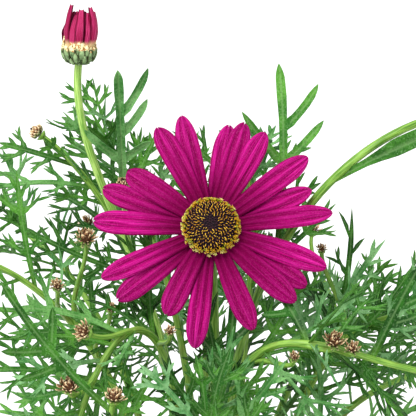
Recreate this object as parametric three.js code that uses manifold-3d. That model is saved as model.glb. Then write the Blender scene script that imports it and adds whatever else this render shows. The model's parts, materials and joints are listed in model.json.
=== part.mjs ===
// A potted marguerite daisy: one open bloom, two opening buds, small scaly buds and a
// mound of deeply cut leaves, growing from compost in a plain clay pot.
// Millimetres, +Z up. The origin is the centre of the pot's flat base, and the bloom
// looks towards -Y.
import * as THREE from "three";
import { mergeVertices } from "three/addons/utils/BufferGeometryUtils.js";
import Module from "manifold-3d";

const wasm = await Module();
wasm.setup();

const TURN = Math.PI * 2;
const DEGREE = Math.PI / 180;
const clearance = 0.35; // between two pieces that touch

// Driving dimensions of the pot and the compost
const potHeight = 105;
const potBaseRadius = 43;
const potRimRadius = 62.5;
const potWall = 5;
const potFloor = 6;
const collarHeight = 22;
const drainRadius = 5;
const drainCircle = 24;
const compostTop = 92;
const stemRadius = 1.5;
const stemSteps = 6; // straight lengths in a stem, the first of which stands in the compost
const stemFoot = 80; // the cut ends of the stems stand this high, inside the compost

// Driving dimensions of the flowers and the leaves
const bloomCentre = new THREE.Vector3(1, -52, 205);
const bloomTilt = 29 * DEGREE; // the bloom looks this far above the horizon
const receptacleRadius = 9.4;
const ringFoot = -0.9; // the ring that carries the ray florets starts at this height
const petalWidth = 7.4;
const petalThickness = 0.7;
const bladeThickness = 0.75;
const budWidth = 12.4;
const budPetalHeight = 13.5;
const smallBudRadius = 2.4;
const goldenTurn = 137.5 * DEGREE;

const colours = {
  clay: { color: 0xb5623c, roughness: 0.9 },
  compost: { color: 0x3a2a20, roughness: 1 },
  stemGreen: { color: 0x7fae3c, roughness: 0.55 },
  leafGreen: { color: 0x3f7f3a, roughness: 0.6 },
  magenta: { color: 0xb80f78, roughness: 0.55 },
  budPink: { color: 0xc62f6e, roughness: 0.5 },
  discGold: { color: 0x7a5a18, roughness: 0.8 },
  scaleBrown: { color: 0xb58a62, roughness: 0.8 },
};

// Every ray floret of the bloom: the direction it points in, seen from the front and
// counted anticlockwise from the right, the reach of its tip from the bloom's centre,
// and the layer it lies in, 0 being the front.
const rays = [
  { turn: 8.5, reach: 38.8, layer: 0 },
  { turn: 21.5, reach: 34.7, layer: 1 },
  { turn: 38, reach: 39.2, layer: 0 },
  { turn: 61, reach: 36.9, layer: 0 },
  { turn: 73.5, reach: 37.8, layer: 1 },
  { turn: 81, reach: 36.2, layer: 2 },
  { turn: 105, reach: 40, layer: 1 },
  { turn: 115, reach: 38.3, layer: 0 },
  { turn: 142.5, reach: 32.7, layer: 0 },
  { turn: 159, reach: 37, layer: 1 },
  { turn: 176, reach: 37.1, layer: 0 },
  { turn: 205.5, reach: 37.5, layer: 0 },
  { turn: 218.5, reach: 36.7, layer: 1 },
  { turn: 242, reach: 31, layer: 0 },
  { turn: 262, reach: 38.1, layer: 1 },
  { turn: 290.5, reach: 34.9, layer: 0 },
  { turn: 318, reach: 35.2, layer: 0 },
  { turn: 329.5, reach: 34.9, layer: 1 },
  { turn: 342.5, reach: 38.1, layer: 0 },
];

// Shoots. A path is the four points of a cubic Bezier curve, from the shoot's foot in
// the compost to its end. leaves is the number of common leaves, over the shares of the
// path in spread, with their length at the lower and the upper end, and looks is where
// their upper sides turn. A shoot that bends a lot says its number of straight steps.
// Each twig leaves the shoot at a share of its path and ends in a small scaly bud, size
// times the usual one; a budded shoot ends in one itself. A hero leaf shows on its own:
// it springs from a share of the path and lists its lobes as
// [share of the leaf's length, side, lobe length, degrees from the rib]. Most are broad
// straps; a slim one is cut like the common leaves.
const front = [0, -0.85, 0.5];
const shoots = {
  bloom_stalk: {
    path: [[0, -8, stemFoot], [5, 6, 150], [3, 4, 186], null],
    radius: 1.7,
  },
  bud_stalk: {
    path: [[-9, -2, stemFoot], [-2, -4, 169], [-48, -16, 212], [-41.8, -16.6, 252]],
    radius: 1.5,
    twigs: [{ at: 0.46, bud: [-27.5, -24, 211.6], size: 0.8 }],
    heroes: [
      {
        at: 0.54, tip: [-28.7, -27.9, 250.8], face: [0.15, -0.95, 0.2], bend: 0.16,
        lobes: [[0.51, -1, 10, 54], [0.56, 1, 13.5, 52], [0.66, -1, 13, 37], [0.77, -1, 17, 29]],
      },
    ],
  },
  side_bud_stalk: {
    path: [[9, 1, stemFoot], [-4, -30, 170], [33, -53, 234], [79, -29, 237]],
    radius: 1.5,
    heroes: [
      {
        at: 0.5, tip: [22.9, -21.5, 252.2], face: [-0.1, -0.95, 0.25], bend: 0.1,
        lobes: [[0.5, -1, 17.5, 43], [0.53, 1, 18, 41], [0.68, -1, 17, 40]],
      },
      {
        at: 0.68, tip: [76.5, -44, 236.5], face: [-0.3, -0.85, 0.45], bend: 0.16,
        lobes: [], broad: 3.3,
      },
    ],
  },
  stem_upper_left: {
    path: [[-9, 9, stemFoot], [-10, 12, 150], [-28, 9, 202], [-56, 8, 223]],
    leaves: 8, spread: [0.36, 0.95], long: [48, 28], looks: front, budded: true,
  },
  stem_high_left: {
    path: [[-3, 15, stemFoot], [-4, 20, 150], [-20, 20, 198], [-35, 16, 220]],
    leaves: 7, spread: [0.4, 0.97], long: [48, 32], looks: front,
  },
  stem_left: {
    path: [[-18, 0, stemFoot], [-22, -8, 140], [-48, -16, 176], [-74, -22, 187]],
    leaves: 8, spread: [0.3, 0.97], long: [52, 34], looks: front,
    twigs: [
      { at: 0.55, bud: [-39.2, -31.6, 195.2], size: 1.1 },
      { at: 0.6, bud: [-48.2, -40, 181.7], size: 0.75 },
      { at: 0.45, bud: [-31.2, -42.6, 175.2], size: 0.6 },
    ],
  },
  stem_front_left: {
    path: [[-9, -20, stemFoot], [-4, -52, 205], [-34, -64, 182], [-42, -77, 138]],
    steps: 9, leaves: 7, spread: [0.4, 0.97], long: [46, 32], looks: [0, -0.7, 0.7],
    twigs: [
      { at: 0.54, bud: [-36.2, -74, 176.2], aims: [-0.75, -0.45, 0.45], size: 1.05 },
      { at: 0.36, bud: [-11.7, -65.8, 173.8], size: 0.6 },
      { at: 0.78, bud: [-42, -82, 160.6], size: 1.1 },
    ],
  },
  stem_low_left: {
    path: [[-20, -17, stemFoot], [-30, -42, 142], [-34, -82, 126], [-28.5, -86, 158]],
    leaves: 7, spread: [0.3, 0.8], long: [50, 34], looks: [-0.3, -0.8, 0.5], budded: true,
    heroes: [
      {
        at: 0.97, tip: [-61.9, -84.6, 195.9], face: [0.3, -0.9, 0.3], bend: -0.2,
        lobes: [[0.4, 1, 14, 66], [0.52, 1, 15, 50], [0.5, -1, 12, 38]], broad: 1.4,
      },
    ],
  },
  stem_front: {
    path: [[2, -27, stemFoot], [4, -48, 150], [4, -88, 130], [-2, -92, 152]],
    leaves: 7, spread: [0.3, 0.97], long: [48, 34], looks: [0, -0.75, 0.65],
    heroes: [
      {
        at: 0.5, tip: [8, -78, 180], face: [0.1, -0.95, 0.2], bend: 0.3, slim: true,
        lobes: [[0.4, -1, 11, 40], [0.44, 1, 12, 44], [0.64, -1, 10, 36], [0.68, 1, 9, 36]],
      },
      {
        at: 0.78, tip: [24, -86, 172], face: [-0.1, -0.9, 0.4], bend: 0.25, slim: true,
        lobes: [[0.42, -1, 10, 42], [0.46, 1, 10, 42], [0.66, -1, 8, 36]],
      },
      {
        at: 0.66, tip: [-14, -84, 172], face: [0.2, -0.9, 0.4], bend: 0.25, slim: true,
        lobes: [[0.42, -1, 10, 42], [0.46, 1, 9, 42], [0.66, 1, 8, 36]],
      },
      {
        at: 0.58, tip: [9, -46, 188], face: [-0.1, -0.85, 0.5], bend: 0.15,
        lobes: [[0.4, -1, 10, 45], [0.5, 1, 12, 45], [0.64, -1, 9, 38]], broad: 1.7,
      },
      {
        at: 0.4, tip: [-5, -44, 188], face: [0.1, -0.85, 0.5], bend: 0.15, slim: true,
        lobes: [[0.4, -1, 12, 40], [0.46, 1, 12, 42], [0.62, -1, 10, 36], [0.66, 1, 10, 36]],
      },
    ],
  },
  stem_front_right: {
    path: [[12, -18, stemFoot], [-12, -77, 232], [60, -78, 144], [91, -60, 164]],
    steps: 12, leaves: 7, spread: [0.34, 0.96], long: [50, 34], looks: [0.1, -0.8, 0.6],
    twigs: [
      { at: 0.44, bud: [38.6, -73.9, 172.6], size: 1.05 },
      { at: 0.56, bud: [44.2, -74.4, 170.6], size: 0.8 },
      { at: 0.3, bud: [26.6, -69.4, 166.6], size: 0.6 },
    ],
    heroes: [
      {
        at: 0.5, tip: [17, -48, 191], face: [0.1, -0.8, 0.6], bend: 0.2,
        lobes: [[0.4, 1, 8.5, 75], [0.62, -1, 8, 40]], broad: 1.3,
      },
      {
        at: 0.66, tip: [63.9, -72.2, 196.6], face: [-0.2, -0.9, 0.3], bend: 0.2,
        lobes: [[0.42, -1, 12, 40], [0.62, -1, 10, 36]], broad: 1.7,
      },
    ],
  },
  stem_low_right: {
    path: [[21, -13, stemFoot], [30, -34, 136], [44, -74, 112], [62, -84, 124]],
    leaves: 7, spread: [0.3, 0.95], long: [50, 36], looks: [0.3, -0.8, 0.5],
  },
  stem_right: {
    path: [[21, 2, stemFoot], [28, -8, 140], [42, -22, 164], [60, -30, 170]],
    leaves: 6, spread: [0.46, 0.97], long: [44, 30], looks: [0.2, -0.85, 0.5],
    twigs: [{ at: 0.66, bud: [37.1, -26.8, 191], size: 0.6 }],
    heroes: [
      {
        at: 0.55, tip: [57.2, -35.3, 197.2], face: [-0.3, -0.9, 0.3], bend: 0.2, slim: true,
        lobes: [[0.5, -1, 11, 36], [0.54, 1, 9, 40], [0.7, -1, 8, 34]],
      },
      {
        at: 0.62, tip: [66, -40.7, 190.5], face: [-0.2, -0.9, 0.4], bend: 0.25, slim: true,
        lobes: [[0.48, -1, 11, 36], [0.52, 1, 12, 32], [0.7, -1, 7, 34]],
      },
      {
        at: 0.48, tip: [46.7, -27.3, 206], face: [-0.1, -0.9, 0.4], bend: 0.15, slim: true,
        lobes: [[0.5, -1, 9, 32], [0.66, 1, 8, 30]],
      },
    ],
  },
  stem_high_back: {
    path: [[8, 12, stemFoot], [12, 14, 150], [18, 14, 184], [14, 8, 210]],
    leaves: 6, spread: [0.4, 0.97], long: [46, 32], looks: front,
  },
  stem_back_right: {
    path: [[17, 17, stemFoot], [22, 28, 132], [42, 46, 146], [60, 54, 148]],
    leaves: 5, spread: [0.3, 0.97], long: [44, 32], looks: [0.4, 0.7, 0.6],
    twigs: [{ at: 0.7, bud: [38, 56, 178], aims: [0.2, 0.4, 0.9] }],
  },
  stem_back: {
    path: [[0, 25, stemFoot], [0, 40, 146], [-2, 64, 174], [-4, 78, 184]],
    leaves: 5, spread: [0.3, 0.93], long: [52, 36], looks: [0, 0.8, 0.6], budded: true,
  },
  stem_back_left: {
    path: [[-17, 17, stemFoot], [-24, 26, 140], [-48, 44, 170], [-68, 54, 180]],
    leaves: 5, spread: [0.3, 0.97], long: [52, 36], looks: [-0.4, 0.7, 0.6],
    twigs: [{ at: 0.7, bud: [-42, 30, 186], aims: [-0.2, 0.4, 0.9] }],
  },
  stem_low_side: {
    path: [[26, 9, stemFoot], [38, 10, 134], [66, 12, 134], [84, 10, 144]],
    leaves: 5, spread: [0.3, 0.96], long: [48, 36], looks: [0.6, -0.3, 0.6],
  },
};

// The two opening buds look this way from the ends of their stalks.
const openingBuds = { bud_stalk: [0.02, -0.05, 1], side_bud_stalk: [0.5, 0.2, 0.85] };

// Small helpers for vectors, curves and solids

const vector = (list) => new THREE.Vector3(...list);
const mix = (a, b, share) => a + (b - a) * share;

// A repeatable random number between 0 and 1.
function seeded(seed) {
  let state = seed;
  return () => {
    state = (state * 16807) % 2147483647;
    return state / 2147483647;
  };
}

const curveOf = (path) => new THREE.CubicBezierCurve3(...path.map(vector));

function solidOf(geometry) {
  const bare = geometry.clone();
  for (const name of Object.keys(bare.attributes)) {
    if (name !== "position") bare.deleteAttribute(name);
  }
  const merged = mergeVertices(bare, 1e-4);
  return new wasm.Manifold(
    new wasm.Mesh({
      numProp: 3,
      vertProperties: new Float32Array(merged.attributes.position.array),
      triVerts: new Uint32Array(merged.index.array),
    }),
  );
}

function geometryOf(solid) {
  const mesh = solid.getMesh();
  return new THREE.BufferGeometry()
    .setAttribute("position", new THREE.BufferAttribute(mesh.vertProperties, 3))
    .setIndex(new THREE.BufferAttribute(mesh.triVerts, 1));
}

const fused = (solids) => solids.reduce((whole, piece) => whole.add(piece));

function indexedGeometry(points, triangles) {
  const flat = points.flatMap((p) => [p.x, p.y, p.z]);
  return new THREE.BufferGeometry()
    .setAttribute("position", new THREE.Float32BufferAttribute(flat, 3))
    .setIndex(triangles.flat());
}

// The turn that carries +Z onto an axis and sets a piece down at a place.
function standingAt(place, axis) {
  const turned = new THREE.Quaternion().setFromUnitVectors(
    new THREE.Vector3(0, 0, 1),
    axis,
  );
  return new THREE.Matrix4().compose(place, turned, new THREE.Vector3(1, 1, 1));
}

// A closed tube along a curve whose radius runs from one value to another.
function taperedTube(curve, startRadius, endRadius, steps, sides, first = 0, last = 1) {
  const points = [];
  const triangles = [];
  const reference = new THREE.Vector3(0.3, 1, 0.1).normalize();
  for (let i = 0; i <= steps; i++) {
    const share = mix(first, last, i / steps);
    const centre = curve.getPoint(share);
    const tangent = curve.getTangent(share);
    const side = tangent.clone().cross(reference).normalize();
    const over = side.clone().cross(tangent);
    const radius = mix(startRadius, endRadius, i / steps);
    for (let k = 0; k < sides; k++) {
      const angle = (k / sides) * TURN;
      points.push(
        centre.clone()
          .addScaledVector(side, Math.cos(angle) * radius)
          .addScaledVector(over, Math.sin(angle) * radius),
      );
    }
  }
  for (let i = 0; i < steps; i++) {
    for (let k = 0; k < sides; k++) {
      const a = i * sides + k;
      const b = i * sides + ((k + 1) % sides);
      triangles.push([a, a + sides, b], [b, a + sides, b + sides]);
    }
  }
  for (let k = 1; k < sides - 1; k++) {
    const top = steps * sides;
    triangles.push([0, k, k + 1], [top, top + k + 1, top + k]);
  }
  return indexedGeometry(points, triangles);
}

// A closed body around +Z made of rings, each a list of [radius, height] by sector,
// with a pole at the bottom and another at the top.
function ringedBody(bottom, rings, top) {
  const sectors = rings[0].length;
  const points = [new THREE.Vector3(0, 0, bottom)];
  const triangles = [];
  for (const ring of rings) {
    ring.forEach(([radius, height], k) => {
      const angle = (k / sectors) * TURN;
      points.push(
        new THREE.Vector3(Math.cos(angle) * radius, Math.sin(angle) * radius, height),
      );
    });
  }
  points.push(new THREE.Vector3(0, 0, top));
  const at = (ring, k) => 1 + ring * sectors + (k % sectors);
  for (let k = 0; k < sectors; k++) {
    triangles.push([0, at(0, k + 1), at(0, k)]);
    triangles.push([points.length - 1, at(rings.length - 1, k), at(rings.length - 1, k + 1)]);
    for (let ring = 0; ring < rings.length - 1; ring++) {
      triangles.push([at(ring, k), at(ring, k + 1), at(ring + 1, k + 1)]);
      triangles.push([at(ring, k), at(ring + 1, k + 1), at(ring + 1, k)]);
    }
  }
  return indexedGeometry(points, triangles);
}

// A thin solid with the outline of a blade. The outline runs anticlockwise seen from the
// blade's face, faces are triangles between outline and inner points, and place turns
// [along, across, height] into a point in space.
function blade(flat, faces, outline, thickness, place) {
  const upper = flat.map(([along, across, rise = 0]) => place(along, across, rise));
  const lower = flat.map(([along, across, rise = 0]) => place(along, across, rise - thickness));
  const count = flat.length;
  const triangles = [];
  for (const [a, b, c] of faces) {
    triangles.push([a, b, c], [a + count, c + count, b + count]);
  }
  outline.forEach((a, i) => {
    const b = outline[(i + 1) % outline.length];
    triangles.push([a + count, b + count, b], [a + count, b, a]);
  });
  return indexedGeometry([...upper, ...lower], triangles);
}

// Leaves

// A leaf springs from base along one direction, looks along face, and curls away from
// its face by bend radians from base to tip. Its lobes are [share, side, length, degrees].
function leafPlace(leaf) {
  const left = leaf.face.clone().cross(leaf.along);
  return (along, across, rise) => {
    const angle = (leaf.bend * along) / leaf.length;
    const forward = leaf.bend ? (Math.sin(angle) / leaf.bend) * leaf.length : along;
    const away = leaf.bend ? ((1 - Math.cos(angle)) / leaf.bend) * leaf.length : 0;
    const height = rise + leaf.fold * Math.abs(across);
    return leaf.base.clone()
      .addScaledVector(leaf.along, forward + height * Math.sin(angle))
      .addScaledVector(leaf.face, height * Math.cos(angle) - away)
      .addScaledVector(left, across);
  };
}

const ribHalf = (leaf, share) => mix(0.85, leaf.wing, Math.min(1, share * 2.5));

// The tip of a lobe in the leaf's own flat measure.
function lobeTip(leaf, [share, side, length, degrees]) {
  const reach = ribHalf(leaf, share) + Math.sin(degrees * DEGREE) * length;
  return [share * leaf.length + Math.cos(degrees * DEGREE) * length, side * reach];
}

// The leaf as a solid: a winged rib with a pointed lobe on either side at each station,
// and a longer lobe at its end.
function leafSolid(leaf) {
  const flat = [];
  const faces = [];
  const rightEdge = [];
  const leftEdge = [];
  const add = (along, across) => flat.push([along, across]) - 1;
  const station = (along) => {
    const half = ribHalf(leaf, along / leaf.length);
    return [add(along, -half), add(along, half)];
  };
  const cuts = [];
  for (const lobe of leaf.lobes) {
    const place = lobe[0] * leaf.length;
    const pair = cuts.find((cut) => Math.abs(cut.place - place) < leaf.foot * 1.2);
    if (pair) pair.lobes.push(lobe);
    else cuts.push({ place, lobes: [lobe] });
  }
  cuts.sort((a, b) => a.place - b.place);
  let [right, left] = station(0);
  const step = (along, lobes = []) => {
    const [nextRight, nextLeft] = station(along);
    faces.push([right, nextRight, nextLeft], [right, nextLeft, left]);
    rightEdge.push(right);
    leftEdge.push(left);
    for (const lobe of lobes) {
      const tip = add(...lobeTip(leaf, lobe));
      if (lobe[1] < 0) {
        faces.push([right, tip, nextRight]);
        rightEdge.push(tip);
      } else {
        faces.push([left, nextLeft, tip]);
        leftEdge.push(tip);
      }
    }
    [right, left] = [nextRight, nextLeft];
  };
  for (const { place, lobes } of cuts) {
    step(place - leaf.foot / 2);
    step(place + leaf.foot / 2, lobes);
  }
  const endFoot = cuts.length ? cuts.at(-1).place + leaf.foot / 2 : leaf.length * 0.35;
  if (!cuts.length) step(endFoot);
  const belly = mix(endFoot, leaf.length, 0.5);
  const [bellyRight, bellyLeft] = [add(belly, -leaf.broad), add(belly, leaf.broad)];
  const tip = add(leaf.length, 0);
  faces.push([right, bellyRight, bellyLeft], [right, bellyLeft, left]);
  faces.push([bellyRight, tip, bellyLeft]);
  rightEdge.push(right, bellyRight, tip);
  leftEdge.push(left, bellyLeft);
  const outline = [...rightEdge, ...leftEdge.reverse()];
  return solidOf(blade(flat, faces, outline, bladeThickness, leafPlace(leaf)));
}

// The thin straight lengths that stand for a leaf when leaves are kept clear of each
// other: three along the rib and one along each lobe.
function leafLengths(leaf) {
  const place = leafPlace(leaf);
  const at = (share) => place(share * leaf.length, 0, 0);
  const lengths = [
    { from: at(0.08), to: at(0.34), radius: 1.1, petiole: true },
    { from: at(0.34), to: at(0.67), radius: 1.4 },
    { from: at(0.67), to: at(1), radius: leaf.broad },
  ];
  for (const lobe of leaf.lobes) {
    const tip = lobeTip(leaf, lobe);
    lengths.push({ from: at(lobe[0]), to: place(tip[0], tip[1], 0), radius: 1.2 });
  }
  return lengths;
}

// The least distance between two straight lengths.
function distanceBetween(one, other) {
  const d1 = one.to.clone().sub(one.from);
  const d2 = other.to.clone().sub(other.from);
  const r = one.from.clone().sub(other.from);
  const a = d1.dot(d1);
  const e = d2.dot(d2);
  const f = d2.dot(r);
  const c = d1.dot(r);
  const b = d1.dot(d2);
  const clamp = (x) => Math.min(1, Math.max(0, x));
  const s0 = clamp((b * f - c * e) / Math.max(a * e - b * b, 1e-9));
  const t = clamp((b * s0 + f) / e);
  const s = clamp((b * t - c) / a);
  return r.addScaledVector(d1, s).addScaledVector(d2, -t).length();
}

// Everything that is already in place, as straight lengths with a radius and an owner.
const taken = [];

const bloomAxis = new THREE.Vector3(0, -Math.cos(bloomTilt), Math.sin(bloomTilt));

// Leaves stay inside the mound, off the pot and out from in front of the bloom.
const moundRadius = 100;
const moundTop = 232;
function inBounds(point) {
  const out = Math.hypot(point.x, point.y);
  if (out > moundRadius || point.z < 100) return false;
  if (point.z > moundTop - 0.7 * Math.max(0, point.x - 22)) return false;
  if (out < potRimRadius + 6 && point.z < potHeight + 5) return false;
  const rel = point.clone().sub(bloomCentre);
  const ahead = rel.dot(bloomAxis);
  const aside = rel.addScaledVector(bloomAxis, -ahead).length();
  return ahead < -6 || aside > 43;
}

const sideGap = 0.5; // least gap between two leaves
function isClear(lengths, owner) {
  return lengths.every((one) =>
    inBounds(one.to) &&
    taken.every((other) => {
      if (other.owner === owner && (one.petiole || other.stem)) return true;
      return distanceBetween(one, other) > one.radius + other.radius + sideGap;
    }));
}

// A leaf with the usual number of lobes for its length.
const slimCut = { fold: 0.18, wing: 1.15, foot: 3, broad: 1.7 };
function cutLeaf(base, along, face, length, bend, draws) {
  const pairs = length > 46 ? 3 : 2;
  const lobes = [];
  for (let i = 0; i < pairs; i++) {
    const share = mix(0.34, 0.68, i / (pairs - 1));
    const reach = length * mix(0.2, 0.27, i / (pairs - 1));
    for (const side of [-1, 1]) {
      const draw = draws[(i * 2 + (side + 1) / 2) % draws.length];
      lobes.push([share + 0.02 * side, side, reach * mix(0.85, 1.15, draw), mix(38, 54, draw)]);
    }
  }
  return { base, along, face, length, bend, lobes, ...slimCut };
}

const leafTries = 16;
// One common leaf of a shoot, turned round it until it is clear of everything else.
function sprout(name, shoot, curve, level, phase, draws) {
  const rank = level / (shoot.leaves - 1);
  const share = mix(...shoot.spread, rank);
  const base = curve.getPoint(share);
  const tangent = curve.getTangent(share);
  const side = tangent.clone().cross(new THREE.Vector3(0, 1, 0)).normalize();
  const over = side.clone().cross(tangent);
  for (let attempt = 0; attempt < leafTries; attempt++) {
    const azimuth = phase + goldenTurn * level + attempt * 53 * DEGREE;
    const lean = mix(62, 40, rank) * DEGREE * mix(0.85, 1.2, draws[0]) - attempt * 0.02;
    const along = tangent.clone().multiplyScalar(Math.cos(lean))
      .addScaledVector(side, Math.cos(azimuth) * Math.sin(lean))
      .addScaledVector(over, Math.sin(azimuth) * Math.sin(lean));
    along.z += 0.12;
    along.normalize();
    const face = tangent.clone().multiplyScalar(0.5)
      .add(new THREE.Vector3(draws[1] - 0.5, draws[2] - 0.5, draws[3] - 0.5))
      .addScaledVector(vector(shoot.looks), 0.9);
    face.addScaledVector(along, -face.dot(along)).normalize();
    const length = mix(...shoot.long, rank) * mix(0.88, 1.12, draws[4])
      * Math.pow(0.965, attempt);
    const leaf = cutLeaf(base, along, face, length, mix(-0.25, 0.6, draws[5]), draws);
    if (isClear(leafLengths(leaf), name)) return leaf;
  }
  return null;
}

const strapCut = { fold: 0.12, wing: 1.35, foot: 3.4, broad: 1.9 };
function heroLeaf(curve, hero) {
  const base = curve.getPoint(hero.at);
  const chord = vector(hero.tip).sub(base);
  const length = chord.length();
  const face = vector(hero.face);
  const along = chord.normalize();
  face.addScaledVector(along, -face.dot(along)).normalize();
  along.addScaledVector(face, hero.bend / 2).normalize();
  face.addScaledVector(along, -face.dot(along)).normalize();
  return {
    base, along, face, length, bend: hero.bend, lobes: hero.lobes,
    ...(hero.slim ? slimCut : strapCut), ...(hero.broad ? { broad: hero.broad } : {}),
  };
}

// What stands before the leaves grow: shoots, twigs and flower heads.
const bloomBack = bloomCentre.clone().addScaledVector(bloomAxis, -9);
shoots.bloom_stalk.path[3] = bloomBack.toArray();
shoots.bloom_stalk.path[2] = bloomBack.clone().addScaledVector(bloomAxis, -26).toArray();

function take(from, to, radius, owner, kind) {
  taken.push({ from, to, radius, owner, [kind]: true });
}

function takeCurve(curve, owner, radius) {
  const steps = 8;
  for (let i = 0; i < steps; i++) {
    take(curve.getPoint(i / steps), curve.getPoint((i + 1) / steps), radius, owner, "stem");
  }
}

// A twig leaves its shoot along the shoot and bends into the direction its bud aims.
function twigCurve(curve, { at, bud, aims = [0, -0.5, 0.85] }) {
  const foot = curve.getPoint(at);
  const head = vector(bud);
  const span = foot.distanceTo(head);
  const first = foot.clone().addScaledVector(curve.getTangent(at), span * 0.4);
  const second = head.clone().addScaledVector(vector(aims), -0.35 * span);
  return new THREE.CubicBezierCurve3(foot, first, second, head);
}

const smallBuds = [];
for (const [name, shoot] of Object.entries(shoots)) {
  shoot.curve = curveOf(shoot.path);
  takeCurve(shoot.curve, name, 1.6);
  shoot.sprigs = (shoot.twigs ?? []).map((twig) => twigCurve(shoot.curve, twig));
  for (const curve of shoot.sprigs) takeCurve(curve, name, 1);
  const sizes = (shoot.twigs ?? []).map(({ size = 1 }) => size);
  shoot.cups = [...shoot.sprigs, ...(shoot.budded ? [shoot.curve] : [])].map((curve, i) => ({
    place: curve.getPoint(1),
    axis: curve.getTangent(1),
    radius: smallBudRadius * (sizes[i] ?? 1),
  }));
  for (const cup of shoot.cups) {
    take(cup.place, cup.place.clone().addScaledVector(cup.axis, 4), 2.6, name, "head");
    smallBuds.push({ name: `small_bud_${smallBuds.length + 1}`, ...cup });
  }
}
take(bloomBack, bloomCentre, 8.5, "bloom", "head");
for (const { turn, reach } of rays) {
  const across = new THREE.Vector3(1, 0, 0);
  const upward = bloomAxis.clone().cross(across);
  const tip = bloomCentre.clone()
    .addScaledVector(across, Math.cos(turn * DEGREE) * reach)
    .addScaledVector(upward, Math.sin(turn * DEGREE) * reach);
  take(bloomCentre, tip, 4.5, "bloom", "head");
}
for (const [stalk, aims] of Object.entries(openingBuds)) {
  const end = shoots[stalk].curve.getPoint(1);
  take(end, end.clone().addScaledVector(vector(aims).normalize(), 20), 7, "bud", "head");
}

// Hero leaves first, then the common leaves level by level from the top down, so that
// each shoot gets its share.
function settle(name, leaf) {
  (shoots[name].grown ??= []).push(leaf);
  for (const one of leafLengths(leaf)) taken.push({ ...one, owner: name });
}
for (const [name, { curve, heroes = [] }] of Object.entries(shoots)) {
  for (const hero of heroes) settle(name, heroLeaf(curve, hero));
}
const leafy = Object.entries(shoots).filter(([, shoot]) => shoot.leaves);
const draw = seeded(20437);
const levels = Math.max(...leafy.map(([, shoot]) => shoot.leaves));
for (let level = 0; level < levels; level++) {
  leafy.forEach(([name, shoot], order) => {
    const draws = Array.from({ length: 6 }, draw);
    if (level >= shoot.leaves) return;
    const below = shoot.leaves - 1 - level;
    const leaf = sprout(name, shoot, shoot.curve, below, order * 1.7, draws);
    if (leaf) settle(name, leaf);
  });
}

// Pot and compost

const wallInside = (height) =>
  mix(potBaseRadius - potWall, potRimRadius - potWall - 0.5,
    (height - potFloor) / (potHeight - potFloor));

function pot() {
  const collarFoot = potHeight - collarHeight;
  const profile = [
    [0, 0], [potBaseRadius - 1.5, 0], [potBaseRadius, 1.5],
    [potRimRadius - 5.5, collarFoot], [potRimRadius - 1.8, collarFoot + 1],
    [potRimRadius, potHeight - 1.8], [potRimRadius - 1.6, potHeight],
    [wallInside(potHeight) + 0.6, potHeight],
    [wallInside(potFloor), potFloor], [0, potFloor],
  ].map(([x, y]) => new THREE.Vector2(x, y));
  const shell = new THREE.LatheGeometry(profile, 30).rotateX(Math.PI / 2);
  let made = solidOf(shell);
  for (let i = 0; i < 3; i++) {
    const angle = (i / 3) * TURN + Math.PI / 2;
    const hole = new THREE.CylinderGeometry(drainRadius, drainRadius, potFloor * 3, 10);
    hole.rotateX(Math.PI / 2);
    hole.translate(Math.cos(angle) * drainCircle, Math.sin(angle) * drainCircle, 0);
    made = made.subtract(solidOf(hole));
  }
  return made;
}

const compostRings = 5;
const compostSectors = 18;
function compost() {
  const draw = seeded(5501);
  const edge = wallInside(compostTop) - 2 * clearance;
  const foot = potFloor + clearance;
  const rings = [Array(compostSectors).fill([wallInside(foot) - 2 * clearance, foot])];
  for (let i = 0; i < compostRings; i++) {
    const radius = edge * (1 - i / compostRings);
    const ring = [];
    for (let k = 0; k < compostSectors; k++) {
      const lump = i === 0 ? 0 : (draw() - 0.5) * 2.4;
      ring.push([radius, compostTop + 1.5 * Math.sin((i / compostRings) * 1.5) + lump]);
    }
    rings.push(ring);
  }
  const pockets = Object.values(shoots).map(({ curve, radius = stemRadius, steps = stemSteps }) => {
    const foot = curve.getPoint(0);
    const axis = curve.getPoint(1 / steps).sub(foot).normalize();
    const wide = radius + 3 * clearance;
    const pocket = new THREE.CylinderGeometry(wide, wide, 24, 5);
    pocket.rotateX(Math.PI / 2).translate(0, 0, 12 - 2 * clearance);
    return solidOf(pocket.applyMatrix4(standingAt(foot, axis)));
  });
  return solidOf(ringedBody(foot, rings, compostTop + 1.6)).subtract(fused(pockets));
}

// The cup of green scales under a flower head, standing on +Z with its rim at height 0.
function scaleCup(radius, height, scales) {
  const sectors = scales * 2;
  const rows = [[0.24, 0], [0.7, 0.16], [0.98, 0.5], [1, 0.84], [0.86, 1]];
  const rings = rows.map(([wide, high], row) =>
    Array.from({ length: sectors }, (_, k) => {
      const ridge = row > 0 && (k + row) % 2 ? 0.07 * radius : 0;
      return [wide * radius + ridge, (high - 1) * height];
    }));
  return ringedBody(-height, rings, 0);
}

// Bloom

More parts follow.
